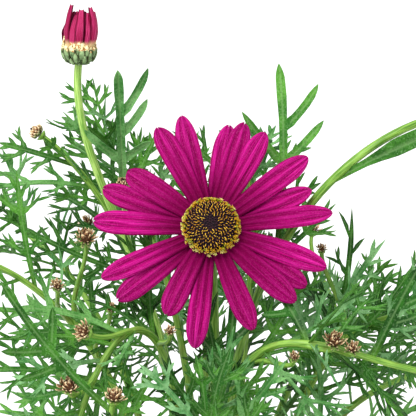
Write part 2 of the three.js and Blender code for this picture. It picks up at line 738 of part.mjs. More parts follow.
// One ray floret: a long blade with a fold down its middle and a blunt, notched end.
function raySolid({ turn, reach, layer }, index) {
  const root = receptacleRadius - 4;
  const stations = [[0, 0.31], [0.36, 0.44], [0.66, 0.5], [0.9, 0.37]];
  const span = reach - root;
  const flat = [];
  const faces = [];
  const width = petalWidth * mix(0.94, 1.06, (index * 0.37) % 1);
  for (const [share, half] of stations) {
    flat.push([share * span, -half * width, 0.35]);
    flat.push([share * span, 0, -0.2]);
    flat.push([share * span, half * width, 0.35]);
  }
  for (let i = 0; i < stations.length - 1; i++) {
    for (const k of [0, 1]) {
      const a = i * 3 + k;
      faces.push([a, a + 3, a + 4], [a, a + 4, a + 1]);
    }
  }
  const end = (stations.length - 1) * 3;
  flat.push([span, -0.13 * width, 0.1], [span * 0.985, 0, 0], [span, 0.13 * width, 0.1]);
  const [notchA, notch, notchB] = [flat.length - 3, flat.length - 2, flat.length - 1];
  faces.push([end, notchA, end + 1], [end + 1, notchA, notch]);
  faces.push([end + 1, notch, notchB], [end + 1, notchB, end + 2]);
  const rightSide = stations.map((_, i) => i * 3);
  const leftSide = stations.map((_, i) => i * 3 + 2).reverse();
  const outline = [...rightSide, notchA, notch, notchB, ...leftSide, 1];
  const angle = turn * DEGREE;
  const ahead = new THREE.Vector3(Math.cos(angle), Math.sin(angle), 0);
  const left = new THREE.Vector3(-Math.sin(angle), Math.cos(angle), 0);
  const droop = 0.0035;
  const place = (along, across, rise) =>
    ahead.clone().multiplyScalar(root + along)
      .addScaledVector(left, across)
      .setZ(2.6 - layer * 1.25 + rise + 0.05 * along - droop * along * along);
  return solidOf(blade(flat, faces, outline, petalThickness, place));
}

function rayFlorets() {
  const ringProfile = [
    [4.4, ringFoot], [8.2, ringFoot], [8.4, 2.4], [4.4, 2.4], [4.4, ringFoot],
  ].map(([x, y]) => new THREE.Vector2(x, y));
  const ring = new THREE.LatheGeometry(ringProfile, 12).rotateX(Math.PI / 2);
  return fused([solidOf(ring), ...rays.map(raySolid)]);
}

// The domed disc, its surface raised into knobs that stand for the packed florets.
function discFlorets() {
  const sectors = 30;
  const base = 3.4;
  const dome = [
    [0.94, 0], [1, 0.24], [0.96, 0.46], [0.86, 0.66], [0.73, 0.82], [0.58, 0.92],
    [0.42, 0.97], [0.24, 1],
  ];
  const discHeight = 6.4;
  const rings = dome.map(([wide, high], row) =>
    Array.from({ length: sectors }, (_, k) => {
      const knob = (k + row) % 2 ? 0.5 : -0.15;
      const lift = row > 1 ? knob : 0;
      return [wide * receptacleRadius + (row > 0 ? knob * 0.6 : 0), base + high * discHeight + lift];
    }));
  const stub = new THREE.CylinderGeometry(3.9, 3.9, 3.6, 12).rotateX(Math.PI / 2);
  stub.translate(0, 0, 1.9);
  return fused([solidOf(ringedBody(base, rings, base + discHeight)), solidOf(stub)]);
}

// Opening buds: upright pink florets around a hollow middle, in a cup of green scales

function budPetals(count) {
  const draw = seeded(771);
  const sectors = count * 2;
  const radius = budWidth / 2;
  const tops = Array.from({ length: count }, () => mix(0.8, 1, draw()));
  const rows = [[0.76, 0], [0.9, 0.16], [0.98, 0.42], [0.97, 0.66], [0.84, 0.88]];
  const rings = rows.map(([wide, high], row) =>
    Array.from({ length: sectors }, (_, k) => {
      const groove = k % 2 ? 0.12 * radius : 0;
      const rise = row === rows.length - 1 ? tops[Math.floor(k / 2)] * high : high;
      return [wide * radius - groove, rise * budPetalHeight];
    }));
  rings.push(Array.from({ length: sectors }, (_, k) => {
    const top = tops[Math.floor(k / 2)];
    return k % 2
      ? [0.68 * radius, 0.72 * budPetalHeight]
      : [0.7 * radius, top * budPetalHeight];
  }));
  rings.push(Array.from({ length: sectors }, () => [0.42 * radius, 0.62 * budPetalHeight]));
  return ringedBody(0, rings, 0.55 * budPetalHeight);
}

// Small buds: a round head of brown scale tips that close over its top

function smallBudHead(radius) {
  const sectors = 6;
  const rows = [[0.66, 0], [1, 0.46], [0.62, 1.1]];
  const rings = rows.map(([wide, high], row) =>
    Array.from({ length: sectors }, (_, k) => {
      const scale = row > 0 && (k + row) % 2 ? 0.16 : 0;
      return [(wide + scale * 0.6) * radius, (high + scale) * radius * 1.25];
    }));
  return ringedBody(0, rings, 1.05 * radius * 1.25);
}

// A shoot in one piece: its stem, twigs, bud cups and leaves, and the cup of its head.
function shootSolid(shoot, headCup) {
  const { curve, radius = stemRadius, steps = stemSteps, sprigs, cups, grown = [] } = shoot;
  const endRadius = headCup ? radius * 0.85 : 0.9;
  const pieces = [solidOf(taperedTube(curve, radius, endRadius, steps, 5))];
  for (const sprig of sprigs) pieces.push(solidOf(taperedTube(sprig, 1, 0.75, 3, 4)));
  for (const { place, axis, radius: budRadius } of cups) {
    const cup = new THREE.CylinderGeometry(budRadius * 0.9, 1, 2, 6);
    cup.rotateX(Math.PI / 2).translate(0, 0, -0.4);
    pieces.push(solidOf(cup.applyMatrix4(standingAt(place, axis))));
  }
  for (const leaf of grown) pieces.push(leafSolid(leaf));
  if (headCup) pieces.push(solidOf(headCup));
  return fused(pieces);
}

// Assembly

const plant = new THREE.Group();

function addMesh(parent, name, geometry, colour) {
  const material = new THREE.MeshStandardMaterial({ ...colours[colour], metalness: 0 });
  const mesh = new THREE.Mesh(geometry, material);
  mesh.name = name;
  parent.add(mesh);
  return mesh;
}

addMesh(plant, "pot", geometryOf(pot()), "clay");
addMesh(plant, "compost", geometryOf(compost()), "compost");

const headCups = {};
const bloomHead = new THREE.Group();
bloomHead.position.copy(bloomCentre).addScaledVector(bloomAxis, -4.5);
bloomHead.rotation.x = Math.PI / 2 - bloomTilt;
plant.add(bloomHead);
addMesh(bloomHead, "ray_florets", geometryOf(rayFlorets()), "magenta");
addMesh(bloomHead, "disc_florets", geometryOf(discFlorets()), "discGold");
headCups.bloom_stalk = scaleCup(receptacleRadius * 0.86, 6.5, 11)
  .translate(0, 0, ringFoot - clearance)
  .applyMatrix4(standingAt(bloomHead.position, bloomAxis));

for (const [stalk, aims] of Object.entries(openingBuds)) {
  const place = shoots[stalk].curve.getPoint(1);
  const axis = vector(aims).normalize();
  headCups[stalk] = scaleCup(budWidth * 0.43, 5.5, 8)
    .translate(0, 0, 4.6)
    .applyMatrix4(standingAt(place, axis));
  const head = new THREE.Group();
  head.position.copy(place).addScaledVector(axis, 4.6 + clearance);
  head.quaternion.setFromUnitVectors(new THREE.Vector3(0, 0, 1), axis);
  plant.add(head);
  addMesh(head, stalk.replace("stalk", "petals"), budPetals(12), "budPink");
}

for (const [name, shoot] of Object.entries(shoots)) {
  const colour = headCups[name] ? "stemGreen" : "leafGreen";
  addMesh(plant, name, geometryOf(shootSolid(shoot, headCups[name])), colour);
}
for (const { name, place, axis, radius } of smallBuds) {
  const head = addMesh(plant, name, smallBudHead(radius), "scaleBrown");
  head.position.copy(place).addScaledVector(axis, 0.6 + clearance);
  head.quaternion.setFromUnitVectors(new THREE.Vector3(0, 0, 1), axis);
}

export default plant;
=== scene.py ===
# %% [markdown]
# # A potted marguerite daisy
# The CAD model gives this plant its places and sizes: a clay pot, compost, flower stalks,
# leafy stems, one open bloom and buds at every stage. This notebook dresses it. Each piece
# is built again with the fine detail a camera sees, in the place where the solid stands,
# and gets a material made only of nodes.

# %% Load the solids
import json
import math
import random

import bmesh
import bpy
import numpy as np
from mathutils import Matrix, Vector, noise

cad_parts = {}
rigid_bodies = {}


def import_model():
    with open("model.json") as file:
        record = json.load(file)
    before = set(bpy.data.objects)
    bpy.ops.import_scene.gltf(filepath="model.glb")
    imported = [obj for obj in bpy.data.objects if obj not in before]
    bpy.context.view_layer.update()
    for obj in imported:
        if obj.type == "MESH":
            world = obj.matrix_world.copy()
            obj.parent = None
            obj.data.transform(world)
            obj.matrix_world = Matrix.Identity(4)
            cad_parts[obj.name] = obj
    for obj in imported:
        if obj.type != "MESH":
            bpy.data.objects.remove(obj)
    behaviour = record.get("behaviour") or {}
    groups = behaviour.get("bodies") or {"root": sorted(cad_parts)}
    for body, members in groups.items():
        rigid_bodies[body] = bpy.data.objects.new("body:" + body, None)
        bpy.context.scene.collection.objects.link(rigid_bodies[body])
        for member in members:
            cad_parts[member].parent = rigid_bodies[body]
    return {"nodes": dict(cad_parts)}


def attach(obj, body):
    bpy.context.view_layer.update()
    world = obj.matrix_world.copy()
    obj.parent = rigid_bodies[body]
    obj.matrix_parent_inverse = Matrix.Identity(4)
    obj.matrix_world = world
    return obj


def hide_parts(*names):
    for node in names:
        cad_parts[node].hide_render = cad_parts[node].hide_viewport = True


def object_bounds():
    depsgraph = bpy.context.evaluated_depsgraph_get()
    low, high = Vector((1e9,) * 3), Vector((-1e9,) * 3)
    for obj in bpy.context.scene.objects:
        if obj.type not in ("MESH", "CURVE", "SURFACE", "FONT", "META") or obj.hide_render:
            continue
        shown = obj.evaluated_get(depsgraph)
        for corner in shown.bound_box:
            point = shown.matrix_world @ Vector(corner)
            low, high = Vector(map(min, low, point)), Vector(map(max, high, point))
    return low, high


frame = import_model()
cad_box = [list(corner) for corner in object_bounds()]
print("solids:", len(frame["nodes"]), "box in metres:", cad_box)

# %% [markdown]
# ## Growing the plant again
# A leaf here must lie exactly on the leaf of the solid it stands for. The solids were
# grown by a rule: a short table of stems, a golden-angle spiral of leaves, and a test that
# turns a leaf round its stem until it touches nothing. The same table and the same rule
# are written out here, with the same repeatable random numbers, so both plants agree leaf
# for leaf. Lengths are millimetres, as on the drawing, and become metres in the meshes.

# %% Sizes shared with the solids
MM = 0.001
GOLDEN_TURN = math.radians(137.5)
STEM_FOOT = 80
STEM_RADIUS = 1.5
BLOOM_CENTRE = np.array([1.0, -52.0, 205.0])
BLOOM_TILT = math.radians(29)
RECEPTACLE_RADIUS = 9.4
PETAL_WIDTH = 7.4
BUD_PETAL_HEIGHT = 13.5
BUD_LEAN = 0.07
POT_HEIGHT = 105
POT_BASE_RADIUS = 43
POT_RIM_RADIUS = 62.5
POT_WALL = 5
POT_FLOOR = 6
COLLAR_HEIGHT = 22
DRAIN_RADIUS = 5
DRAIN_CIRCLE = 24
COMPOST_TOP = 92
CLEARANCE = 0.35

# Each ray floret: degrees anticlockwise from the right, reach of its tip, layer from front
RAYS = [
    (8.5, 38.8, 0), (21.5, 34.7, 1), (38, 39.2, 0), (61, 36.9, 0), (73.5, 37.8, 1), (81, 36.2, 2),
    (105, 40, 1), (115, 38.3, 0), (142.5, 32.7, 0), (159, 37, 1), (176, 37.1, 0),
    (205.5, 37.5, 0), (218.5, 36.7, 1), (242, 31, 0), (262, 38.1, 1), (290.5, 34.9, 0),
    (318, 35.2, 0), (329.5, 34.9, 1), (342.5, 38.1, 0),
]
OPENING_BUDS = {"bud_stalk": (0.02, -0.05, 1), "side_bud_stalk": (0.5, 0.2, 0.85)}
FRONT = (0, -0.85, 0.5)

# %% The table of shoots
def row(path, leaves=0, spread=None, long=None, looks=FRONT, **more):
    """One shoot; every path starts at the same height, so its foot is given flat."""
    made = {"path": [(*path[0], STEM_FOOT), *path[1:]], **more}
    if leaves:
        made.update(leaves=leaves, spread=spread, long=long, looks=looks)
    return made


# path: four points of a Bezier curve; then, for a leafy shoot, how many leaves, the shares
# of the path that bear them, their lengths at the bottom and the top, and the way they look
# twigs: share of the path, place of the bud, the way the bud aims, its size
# heroes: share of the path, tip, face, bend, lobes, half width, which is "slim" for a leaf
# that is cut like the common ones; lobes: share of the leaf, side, length, degrees
SHOOTS = {
    "bloom_stalk": row([(0, -8), (5, 6, 150), None, None], radius=1.7),
    "bud_stalk": row(
        [(-9, -2), (-2, -4, 169), (-48, -16, 212), (-41.8, -16.6, 252)],
        radius=1.5,
        twigs=[(0.46, (-27.5, -24, 211.6), None, 0.8)],
        heroes=[
            (0.54, (-28.7, -27.9, 250.8), (0.15, -0.95, 0.2), 0.16,
             [(0.51, -1, 10, 54), (0.56, 1, 13.5, 52), (0.66, -1, 13, 37), (0.77, -1, 17, 29)],
             1.9),
        ],
    ),
    "side_bud_stalk": row(
        [(9, 1), (-4, -30, 170), (33, -53, 234), (79, -29, 237)],
        radius=1.5,
        heroes=[
            (0.5, (22.9, -21.5, 252.2), (-0.1, -0.95, 0.25), 0.1,
             [(0.5, -1, 17.5, 43), (0.53, 1, 18, 41), (0.68, -1, 17, 40)], 1.9),
            (0.68, (76.5, -44, 236.5), (-0.3, -0.85, 0.45), 0.16, [], 3.3),
        ],
    ),
    "stem_upper_left": row(
        [(-9, 9), (-10, 12, 150), (-28, 9, 202), (-56, 8, 223)],
        8, (0.36, 0.95), (48, 28),
        budded=True,
    ),
    "stem_high_left": row(
        [(-3, 15), (-4, 20, 150), (-20, 20, 198), (-35, 16, 220)],
        7, (0.4, 0.97), (48, 32),
    ),
    "stem_left": row(
        [(-18, 0), (-22, -8, 140), (-48, -16, 176), (-74, -22, 187)],
        8, (0.3, 0.97), (52, 34),
        twigs=[
            (0.55, (-39.2, -31.6, 195.2), None, 1.1),
            (0.6, (-48.2, -40, 181.7), None, 0.75),
            (0.45, (-31.2, -42.6, 175.2), None, 0.6),
        ],
    ),
    "stem_front_left": row(
        [(-9, -20), (-4, -52, 205), (-34, -64, 182), (-42, -77, 138)],
        7, (0.4, 0.97), (46, 32), (0, -0.7, 0.7),
        twigs=[
            (0.54, (-36.2, -74, 176.2), (-0.75, -0.45, 0.45), 1.05),
            (0.36, (-11.7, -65.8, 173.8), None, 0.6),
            (0.78, (-42, -82, 160.6), None, 1.1),
        ],
    ),
    "stem_low_left": row(
        [(-20, -17), (-30, -42, 142), (-34, -82, 126), (-28.5, -86, 158)],
        7, (0.3, 0.8), (50, 34), (-0.3, -0.8, 0.5),
        budded=True,
        heroes=[
            (0.97, (-61.9, -84.6, 195.9), (0.3, -0.9, 0.3), -0.2,
             [(0.4, 1, 14, 66), (0.52, 1, 15, 50), (0.5, -1, 12, 38)], 1.4),
        ],
    ),
    "stem_front": row(
        [(2, -27), (4, -48, 150), (4, -88, 130), (-2, -92, 152)],
        7, (0.3, 0.97), (48, 34), (0, -0.75, 0.65),
        heroes=[
            (0.5, (8, -78, 180), (0.1, -0.95, 0.2), 0.3,
             [(0.4, -1, 11, 40), (0.44, 1, 12, 44), (0.64, -1, 10, 36), (0.68, 1, 9, 36)],
             "slim"),
            (0.78, (24, -86, 172), (-0.1, -0.9, 0.4), 0.25,
             [(0.42, -1, 10, 42), (0.46, 1, 10, 42), (0.66, -1, 8, 36)], "slim"),
            (0.66, (-14, -84, 172), (0.2, -0.9, 0.4), 0.25,
             [(0.42, -1, 10, 42), (0.46, 1, 9, 42), (0.66, 1, 8, 36)], "slim"),
            (0.58, (9, -46, 188), (-0.1, -0.85, 0.5), 0.15,
             [(0.4, -1, 10, 45), (0.5, 1, 12, 45), (0.64, -1, 9, 38)], 1.7),
            (0.4, (-5, -44, 188), (0.1, -0.85, 0.5), 0.15,
             [(0.4, -1, 12, 40), (0.46, 1, 12, 42), (0.62, -1, 10, 36), (0.66, 1, 10, 36)],
             "slim"),
        ],
    ),
    "stem_front_right": row(
        [(12, -18), (-12, -77, 232), (60, -78, 144), (91, -60, 164)],
        7, (0.34, 0.96), (50, 34), (0.1, -0.8, 0.6),
        twigs=[
            (0.44, (38.6, -73.9, 172.6), None, 1.05),
            (0.56, (44.2, -74.4, 170.6), None, 0.8),
            (0.3, (26.6, -69.4, 166.6), None, 0.6),
        ],
        heroes=[
            (0.5, (17, -48, 191), (0.1, -0.8, 0.6), 0.2,
             [(0.4, 1, 8.5, 75), (0.62, -1, 8, 40)], 1.3),
            (0.66, (63.9, -72.2, 196.6), (-0.2, -0.9, 0.3), 0.2,
             [(0.42, -1, 12, 40), (0.62, -1, 10, 36)], 1.7),
        ],
    ),
    "stem_low_right": row(
        [(21, -13), (30, -34, 136), (44, -74, 112), (62, -84, 124)],
        7, (0.3, 0.95), (50, 36), (0.3, -0.8, 0.5),
    ),
    "stem_right": row(
        [(21, 2), (28, -8, 140), (42, -22, 164), (60, -30, 170)],
        6, (0.46, 0.97), (44, 30), (0.2, -0.85, 0.5),
        twigs=[(0.66, (37.1, -26.8, 191), None, 0.6)],
        heroes=[
            (0.55, (57.2, -35.3, 197.2), (-0.3, -0.9, 0.3), 0.2,
             [(0.5, -1, 11, 36), (0.54, 1, 9, 40), (0.7, -1, 8, 34)], "slim"),
            (0.62, (66, -40.7, 190.5), (-0.2, -0.9, 0.4), 0.25,
             [(0.48, -1, 11, 36), (0.52, 1, 12, 32), (0.7, -1, 7, 34)], "slim"),
            (0.48, (46.7, -27.3, 206), (-0.1, -0.9, 0.4), 0.15,
             [(0.5, -1, 9, 32), (0.66, 1, 8, 30)], "slim"),
        ],
    ),
    "stem_high_back": row(
        [(8, 12), (12, 14, 150), (18, 14, 184), (14, 8, 210)],
        6, (0.4, 0.97), (46, 32),
    ),
    "stem_back_right": row(
        [(17, 17), (22, 28, 132), (42, 46, 146), (60, 54, 148)],
        5, (0.3, 0.97), (44, 32), (0.4, 0.7, 0.6),
        twigs=[(0.7, (38, 56, 178), (0.2, 0.4, 0.9), 1)],
    ),
    "stem_back": row(
        [(0, 25), (0, 40, 146), (-2, 64, 174), (-4, 78, 184)],
        5, (0.3, 0.93), (52, 36), (0, 0.8, 0.6),
        budded=True,
    ),
    "stem_back_left": row(
        [(-17, 17), (-24, 26, 140), (-48, 44, 170), (-68, 54, 180)],
        5, (0.3, 0.97), (52, 36), (-0.4, 0.7, 0.6),
        twigs=[(0.7, (-42, 30, 186), (-0.2, 0.4, 0.9), 1)],
    ),
    "stem_low_side": row(
        [(26, 9), (38, 10, 134), (66, 12, 134), (84, 10, 144)],
        5, (0.3, 0.96), (48, 36), (0.6, -0.3, 0.6),
    ),
}
print("shoots:", len(SHOOTS), "ray florets:", len(RAYS))


# %% Small helpers for numbers and curves
def mix(a, b, share):
    return a + (b - a) * share


def unit(v):
    v = np.asarray(v, float)
    return v / np.sqrt(v @ v)


def seeded(seed):
    """Repeatable random numbers between 0 and 1, the same as the solids use."""
    state = seed

    def draw():
        nonlocal state
        state = state * 16807 % 2147483647
        return state / 2147483647

    return draw


def bezier(path, share):
    """The point of a cubic Bezier curve at a share of its length."""
    p0, p1, p2, p3 = (np.asarray(p, float) for p in path)
    k = 1 - share
    return k * k * k * p0 + 3 * k * k * share * p1 + 3 * k * share * share * p2 + share**3 * p3


def heading(path, share):
    """The direction of the curve there."""
    step = 0.0001
    return unit(bezier(path, min(share + step, 1)) - bezier(path, max(share - step, 0)))


BLOOM_AXIS = np.array([0, -math.cos(BLOOM_TILT), math.sin(BLOOM_TILT)])
bloom_back = BLOOM_CENTRE - 9 * BLOOM_AXIS
SHOOTS["bloom_stalk"]["path"][3] = tuple(bloom_back)
SHOOTS["bloom_stalk"]["path"][2] = tuple(bloom_back - 26 * BLOOM_AXIS)
print("the bloom looks along", BLOOM_AXIS.round(3))


# %% [markdown]
# A leaf is a rib that curls in one plane, with lobes set on both sides. `on_leaf` turns the
# flat measure of a leaf (along its rib, across it, above it) into a place in space. It
# takes whole arrays, so a finished leaf outline is placed in one go.


# %% The leaf's own measure
def on_leaf(leaf, along, across, rise):
    along, across, rise = (np.asarray(v, float) for v in (along, across, rise))
    left = np.cross(leaf["face"], leaf["along"])
    bend, length = leaf["bend"], leaf["length"]
    angle = bend * along / length
    forward = np.sin(angle) / bend * length if bend else along
    away = (1 - np.cos(angle)) / bend * length if bend else 0 * along
    height = rise + leaf["fold"] * np.abs(across)
    return (
        leaf["base"]
        + np.multiply.outer(forward + height * np.sin(angle), leaf["along"])
        + np.multiply.outer(height * np.cos(angle) - away, leaf["face"])
        + np.multiply.outer(across, left)
    )


def rib_half(leaf, share):
    return mix(0.85, leaf["wing"], min(1, share * 2.5))


def lobe_tip(leaf, lobe):
    share, side, length, degrees = lobe
    lean = math.radians(degrees)
    reach = rib_half(leaf, share) + math.sin(lean) * length
    return share * leaf["length"] + math.cos(lean) * length, side * reach


SLIM_CUT = dict(fold=0.18, wing=1.15, foot=3, broad=1.7)


def cut_leaf(base, along, face, length, bend, draws):
    """A leaf with the usual number of lobes for its length."""
    pairs = 3 if length > 46 else 2
    lobes = []
    for i in range(pairs):
        share = mix(0.34, 0.68, i / (pairs - 1))
        reach = length * mix(0.2, 0.27, i / (pairs - 1))
        for side in (-1, 1):
            draw = draws[(i * 2 + (side + 1) // 2) % len(draws)]
            size = reach * mix(0.85, 1.15, draw)
            lobes.append((share + 0.02 * side, side, size, mix(38, 54, draw)))
    return dict(SLIM_CUT, base=base, along=along, face=face, length=length, bend=bend,
                lobes=lobes)


def hero_leaf(path, hero):
    """A leaf that shows on its own, aimed at a chosen place."""
    at, tip, face, bend, lobes, broad = hero
    base = bezier(path, at)
    chord = np.array(tip) - base
    length = math.sqrt(chord @ chord)
    along = chord / length
    face = np.array(face, float)
    face = unit(face - (face @ along) * along)
    along = unit(along + face * bend / 2)
    face = unit(face - (face @ along) * along)
    cut = SLIM_CUT if broad == "slim" else dict(fold=0.12, wing=1.35, foot=3.4, broad=broad)
    return dict(cut, base=base, along=along, face=face, length=length, bend=bend, lobes=lobes)


# %% [markdown]
# ## Keeping leaves apart
# Every stem, leaf, petal and bud is also kept as a few straight lengths with a radius. A
# new leaf is allowed only where its own lengths stay clear of all of those. The nearest
# distance between two lengths has a closed formula, and numpy works it out against
# hundreds of lengths at once.


# %% What is taken, and the clearance test
PETIOLE_RADIUS = 1.1
RIB_RADIUS = 1.4
LOBE_RADIUS = 1.2


def leaf_lengths(leaf):
    """The straight lengths of one leaf: from, to, radius, petiole."""
    span = leaf["length"]
    at = on_leaf(leaf, [0.08 * span, 0.34 * span, 0.67 * span, span], [0] * 4, [0] * 4)
    lengths = [(at[0], at[1], PETIOLE_RADIUS, True), (at[1], at[2], RIB_RADIUS, False),
               (at[2], at[3], leaf["broad"], False)]
    for lobe in leaf["lobes"]:
        tip = lobe_tip(leaf, lobe)
        ends = on_leaf(leaf, [lobe[0] * span, tip[0]], [0, tip[1]], [0, 0])
        lengths.append((*ends, LOBE_RADIUS, False))
    return lengths


def distances(one_from, one_to, others_from, others_to):
    """The least distance from one straight length to each of many others."""
    d1 = one_to - one_from
    d2 = others_to - others_from
    r = one_from - others_from
    a = d1 @ d1
    e = np.einsum("ij,ij->i", d2, d2)
    f = np.einsum("ij,ij->i", d2, r)
    c = r @ d1
    b = d2 @ d1
    s = np.clip((b * f - c * e) / np.maximum(a * e - b * b, 1e-9), 0, 1)
    t = np.clip((b * s + f) / e, 0, 1)
    s = np.clip((b * t - c) / a, 0, 1)
    gap = r + s[:, None] * d1 - t[:, None] * d2
    return np.sqrt(np.einsum("ij,ij->i", gap, gap))


taken = {"from": [], "to": [], "radius": [], "owner": [], "stem": []}


def take(start, end, radius, owner, stem=False):
    for key, value in zip(taken, (start, end, radius, owner, stem)):
        taken[key].append(value)


def take_curve(path, owner, radius):
    for i in range(8):
        take(bezier(path, i / 8), bezier(path, (i + 1) / 8), radius, owner, True)


MOUND_RADIUS = 100
MOUND_FOOT = 100
MOUND_TOP = 232
TOP_SLOPE = 0.7  # how fast the mound's top falls to the right,
SLOPE_FROM = 22  # and where that starts
RIM_CLEAR = (6, 5)  # how far leaves keep from the pot's rim: outwards, upwards
BLOOM_CLEAR = (-6, 43)  # leaves in front of this depth keep this far from the bloom's axis
SIDE_GAP = 0.5


def in_bounds(point):
    out = math.hypot(point[0], point[1])
    if out > MOUND_RADIUS or point[2] < MOUND_FOOT:
        return False
    if point[2] > MOUND_TOP - TOP_SLOPE * max(0, point[0] - SLOPE_FROM):
        return False
    if out < POT_RIM_RADIUS + RIM_CLEAR[0] and point[2] < POT_HEIGHT + RIM_CLEAR[1]:
        return False
    rel = point - BLOOM_CENTRE
    ahead = rel @ BLOOM_AXIS
    aside = rel - ahead * BLOOM_AXIS
    return ahead < BLOOM_CLEAR[0] or math.sqrt(aside @ aside) > BLOOM_CLEAR[1]


def is_clear(lengths, owner, gap):
    if not all(in_bounds(end) for _, end, _, _ in lengths):
        return False
    starts, ends = np.array(taken["from"]), np.array(taken["to"])
    radii, stems = np.array(taken["radius"]), np.array(taken["stem"])
    own = np.array([name == owner for name in taken["owner"]])
    for start, end, radius, petiole in lengths:
        near = distances(start, end, starts, ends) <= radii + radius + gap
        forgiven = own if petiole else own & stems
        if (near & ~forgiven).any():
            return False
    return True


# %% [markdown]
# The order matters: shoots, twigs and flower heads first, then the leaves that were placed
# one by one, then the common leaves level by level from the top of every shoot downwards.

# %% Stand the shoots and flower heads
STEM_CLEAR = 1.6
TWIG_CLEAR = 1
SMALL_BUD = (4, 2.6)  # the length and the radius that each head takes up
OPEN_BUD = (20, 7)
BLOOM_BACK_CLEAR = 8.5
PETAL_CLEAR = 4.5
USUAL_AIM = (0, -0.5, 0.85)

small_buds = []
for name, shoot in SHOOTS.items():
    path = shoot["path"]
    twigs = shoot.get("twigs", [])
    take_curve(path, name, STEM_CLEAR)
    shoot["sprigs"] = []
    shoot["grown"] = []
    for at, bud, aims, _ in twigs:
        foot, head = bezier(path, at), np.array(bud, float)
        span = math.sqrt((head - foot) @ (head - foot))
        aims = np.array(aims or USUAL_AIM)
        sprig = [foot, foot + heading(path, at) * span * 0.4, head - 0.35 * span * aims, head]
        shoot["sprigs"].append(sprig)
    for sprig in shoot["sprigs"]:
        take_curve(sprig, name, TWIG_CLEAR)
    ends = shoot["sprigs"] + ([path] if "budded" in shoot else [])
    for end, size in zip(ends, [twig[3] for twig in twigs] + [1]):
        place, axis = bezier(end, 1), heading(end, 1)
        take(place, place + axis * SMALL_BUD[0], SMALL_BUD[1], name)
        small_buds.append((f"small_bud_{len(small_buds) + 1}", name, place, axis, size))
take(bloom_back, BLOOM_CENTRE, BLOOM_BACK_CLEAR, "bloom")
BLOOM_UP = np.array([0, math.sin(BLOOM_TILT), math.cos(BLOOM_TILT)])
for turn, reach, _ in RAYS:
    lean = math.radians(turn)
    tip = BLOOM_CENTRE + math.cos(lean) * reach * np.array([1, 0, 0])
    take(BLOOM_CENTRE, tip + math.sin(lean) * reach * BLOOM_UP, PETAL_CLEAR, "bloom")
for stalk, aims in OPENING_BUDS.items():
    end = bezier(SHOOTS[stalk]["path"], 1)
    take(end, end + unit(aims) * OPEN_BUD[0], OPEN_BUD[1], "bud")
print("straight lengths taken:", len(taken["owner"]), "small buds:", len(small_buds))


# %% Grow the leaves
ATTEMPTS = 16
NEXT_TRY = math.radians(53)


def claim(name, leaf, kind="grown", share=1):
    """A leaf joins its shoot, and its share of room is kept clear from then on."""
    SHOOTS[name][kind].append(leaf)
    for start, end, radius, _ in leaf_lengths(leaf):
        take(start, end, radius * share, name)


def sprout(name, shoot, level, phase, draws):
    """One common leaf, turned round its shoot until it is clear of everything else."""
    rank = level / (shoot["leaves"] - 1)
    share = mix(*shoot["spread"], rank)
    base, tangent = bezier(shoot["path"], share), heading(shoot["path"], share)
    side = unit(np.cross(tangent, (0, 1, 0)))
    over = np.cross(side, tangent)
    for attempt in range(ATTEMPTS):
        azimuth = phase + GOLDEN_TURN * level + attempt * NEXT_TRY
        lean = math.radians(mix(62, 40, rank)) * mix(0.85, 1.2, draws[0]) - attempt * 0.02
        along = tangent * math.cos(lean) + side * math.cos(azimuth) * math.sin(lean)
        along = along + over * math.sin(azimuth) * math.sin(lean)
        along = unit(along + np.array([0, 0, 0.12]))
        face = tangent * 0.5 + np.array(draws[1:4]) - 0.5 + np.array(shoot["looks"]) * 0.9
        face = unit(face - (face @ along) * along)
        length = mix(*shoot["long"], rank) * mix(0.88, 1.12, draws[4]) * 0.965**attempt
        leaf = cut_leaf(base, along, face, length, mix(-0.25, 0.6, draws[5]), draws)
        if is_clear(leaf_lengths(leaf), name, shoot.get("gap", SIDE_GAP)):
            return leaf
    return None


for name, shoot in SHOOTS.items():
    for hero in shoot.get("heroes", []):
        claim(name, hero_leaf(shoot["path"], hero))
leafy = [(name, shoot) for name, shoot in SHOOTS.items() if "leaves" in shoot]
draw = seeded(20437)
for level in range(max(shoot["leaves"] for _, shoot in leafy)):
    for order, (name, shoot) in enumerate(leafy):
        draws = [draw() for _ in range(6)]
        if level < shoot["leaves"]:
            leaf = sprout(name, shoot, shoot["leaves"] - 1 - level, order * 1.7, draws)
            if leaf:
                claim(name, leaf)
print("leaves:", sum(len(shoot["grown"]) for shoot in SHOOTS.values()))


# %% [markdown]
# ## Tools of the workshop
# Three helpers serve every piece that follows. `Finish` builds a material, `NodeTree`
# builds a Geometry Nodes tree, and `mesh_object` turns numpy arrays into a mesh. A reader
# who knows the Blender interface will recognise each `add` as a node dropped on the canvas
# with the noodles drawn to it. Plain sums work too: `a * b` drops a Math node.


# %% Values and nodes
class Value:
    """What one node gives out. A sum written with it adds Math nodes to the same tree."""

    def __init__(self, builder, socket):
        self.builder, self.socket = builder, socket

    def __add__(self, other):
        return self.builder.math("ADD", self, other)

    def __sub__(self, other):
        return self.builder.math("SUBTRACT", self, other)

    def __rsub__(self, other):
        return self.builder.math("SUBTRACT", other, self)

    def __mul__(self, other):
        return self.builder.math("MULTIPLY", self, other)

    def __truediv__(self, other):
        return self.builder.math("DIVIDE", self, other)

    def __pow__(self, other):
        return self.builder.math("POWER", self, other)

    def __abs__(self):
        return self.builder.math("ABSOLUTE", self)

    def ramp(self, low, high, to_low=0.0, to_high=1.0):
        """Low to high becomes to_low to to_high, softly, and stays there outside."""
        return self.builder.add("ShaderNodeMapRange",
                                {0: self, 1: low, 2: high, 3: to_low, 4: to_high},
                                interpolation_type="SMOOTHSTEP")


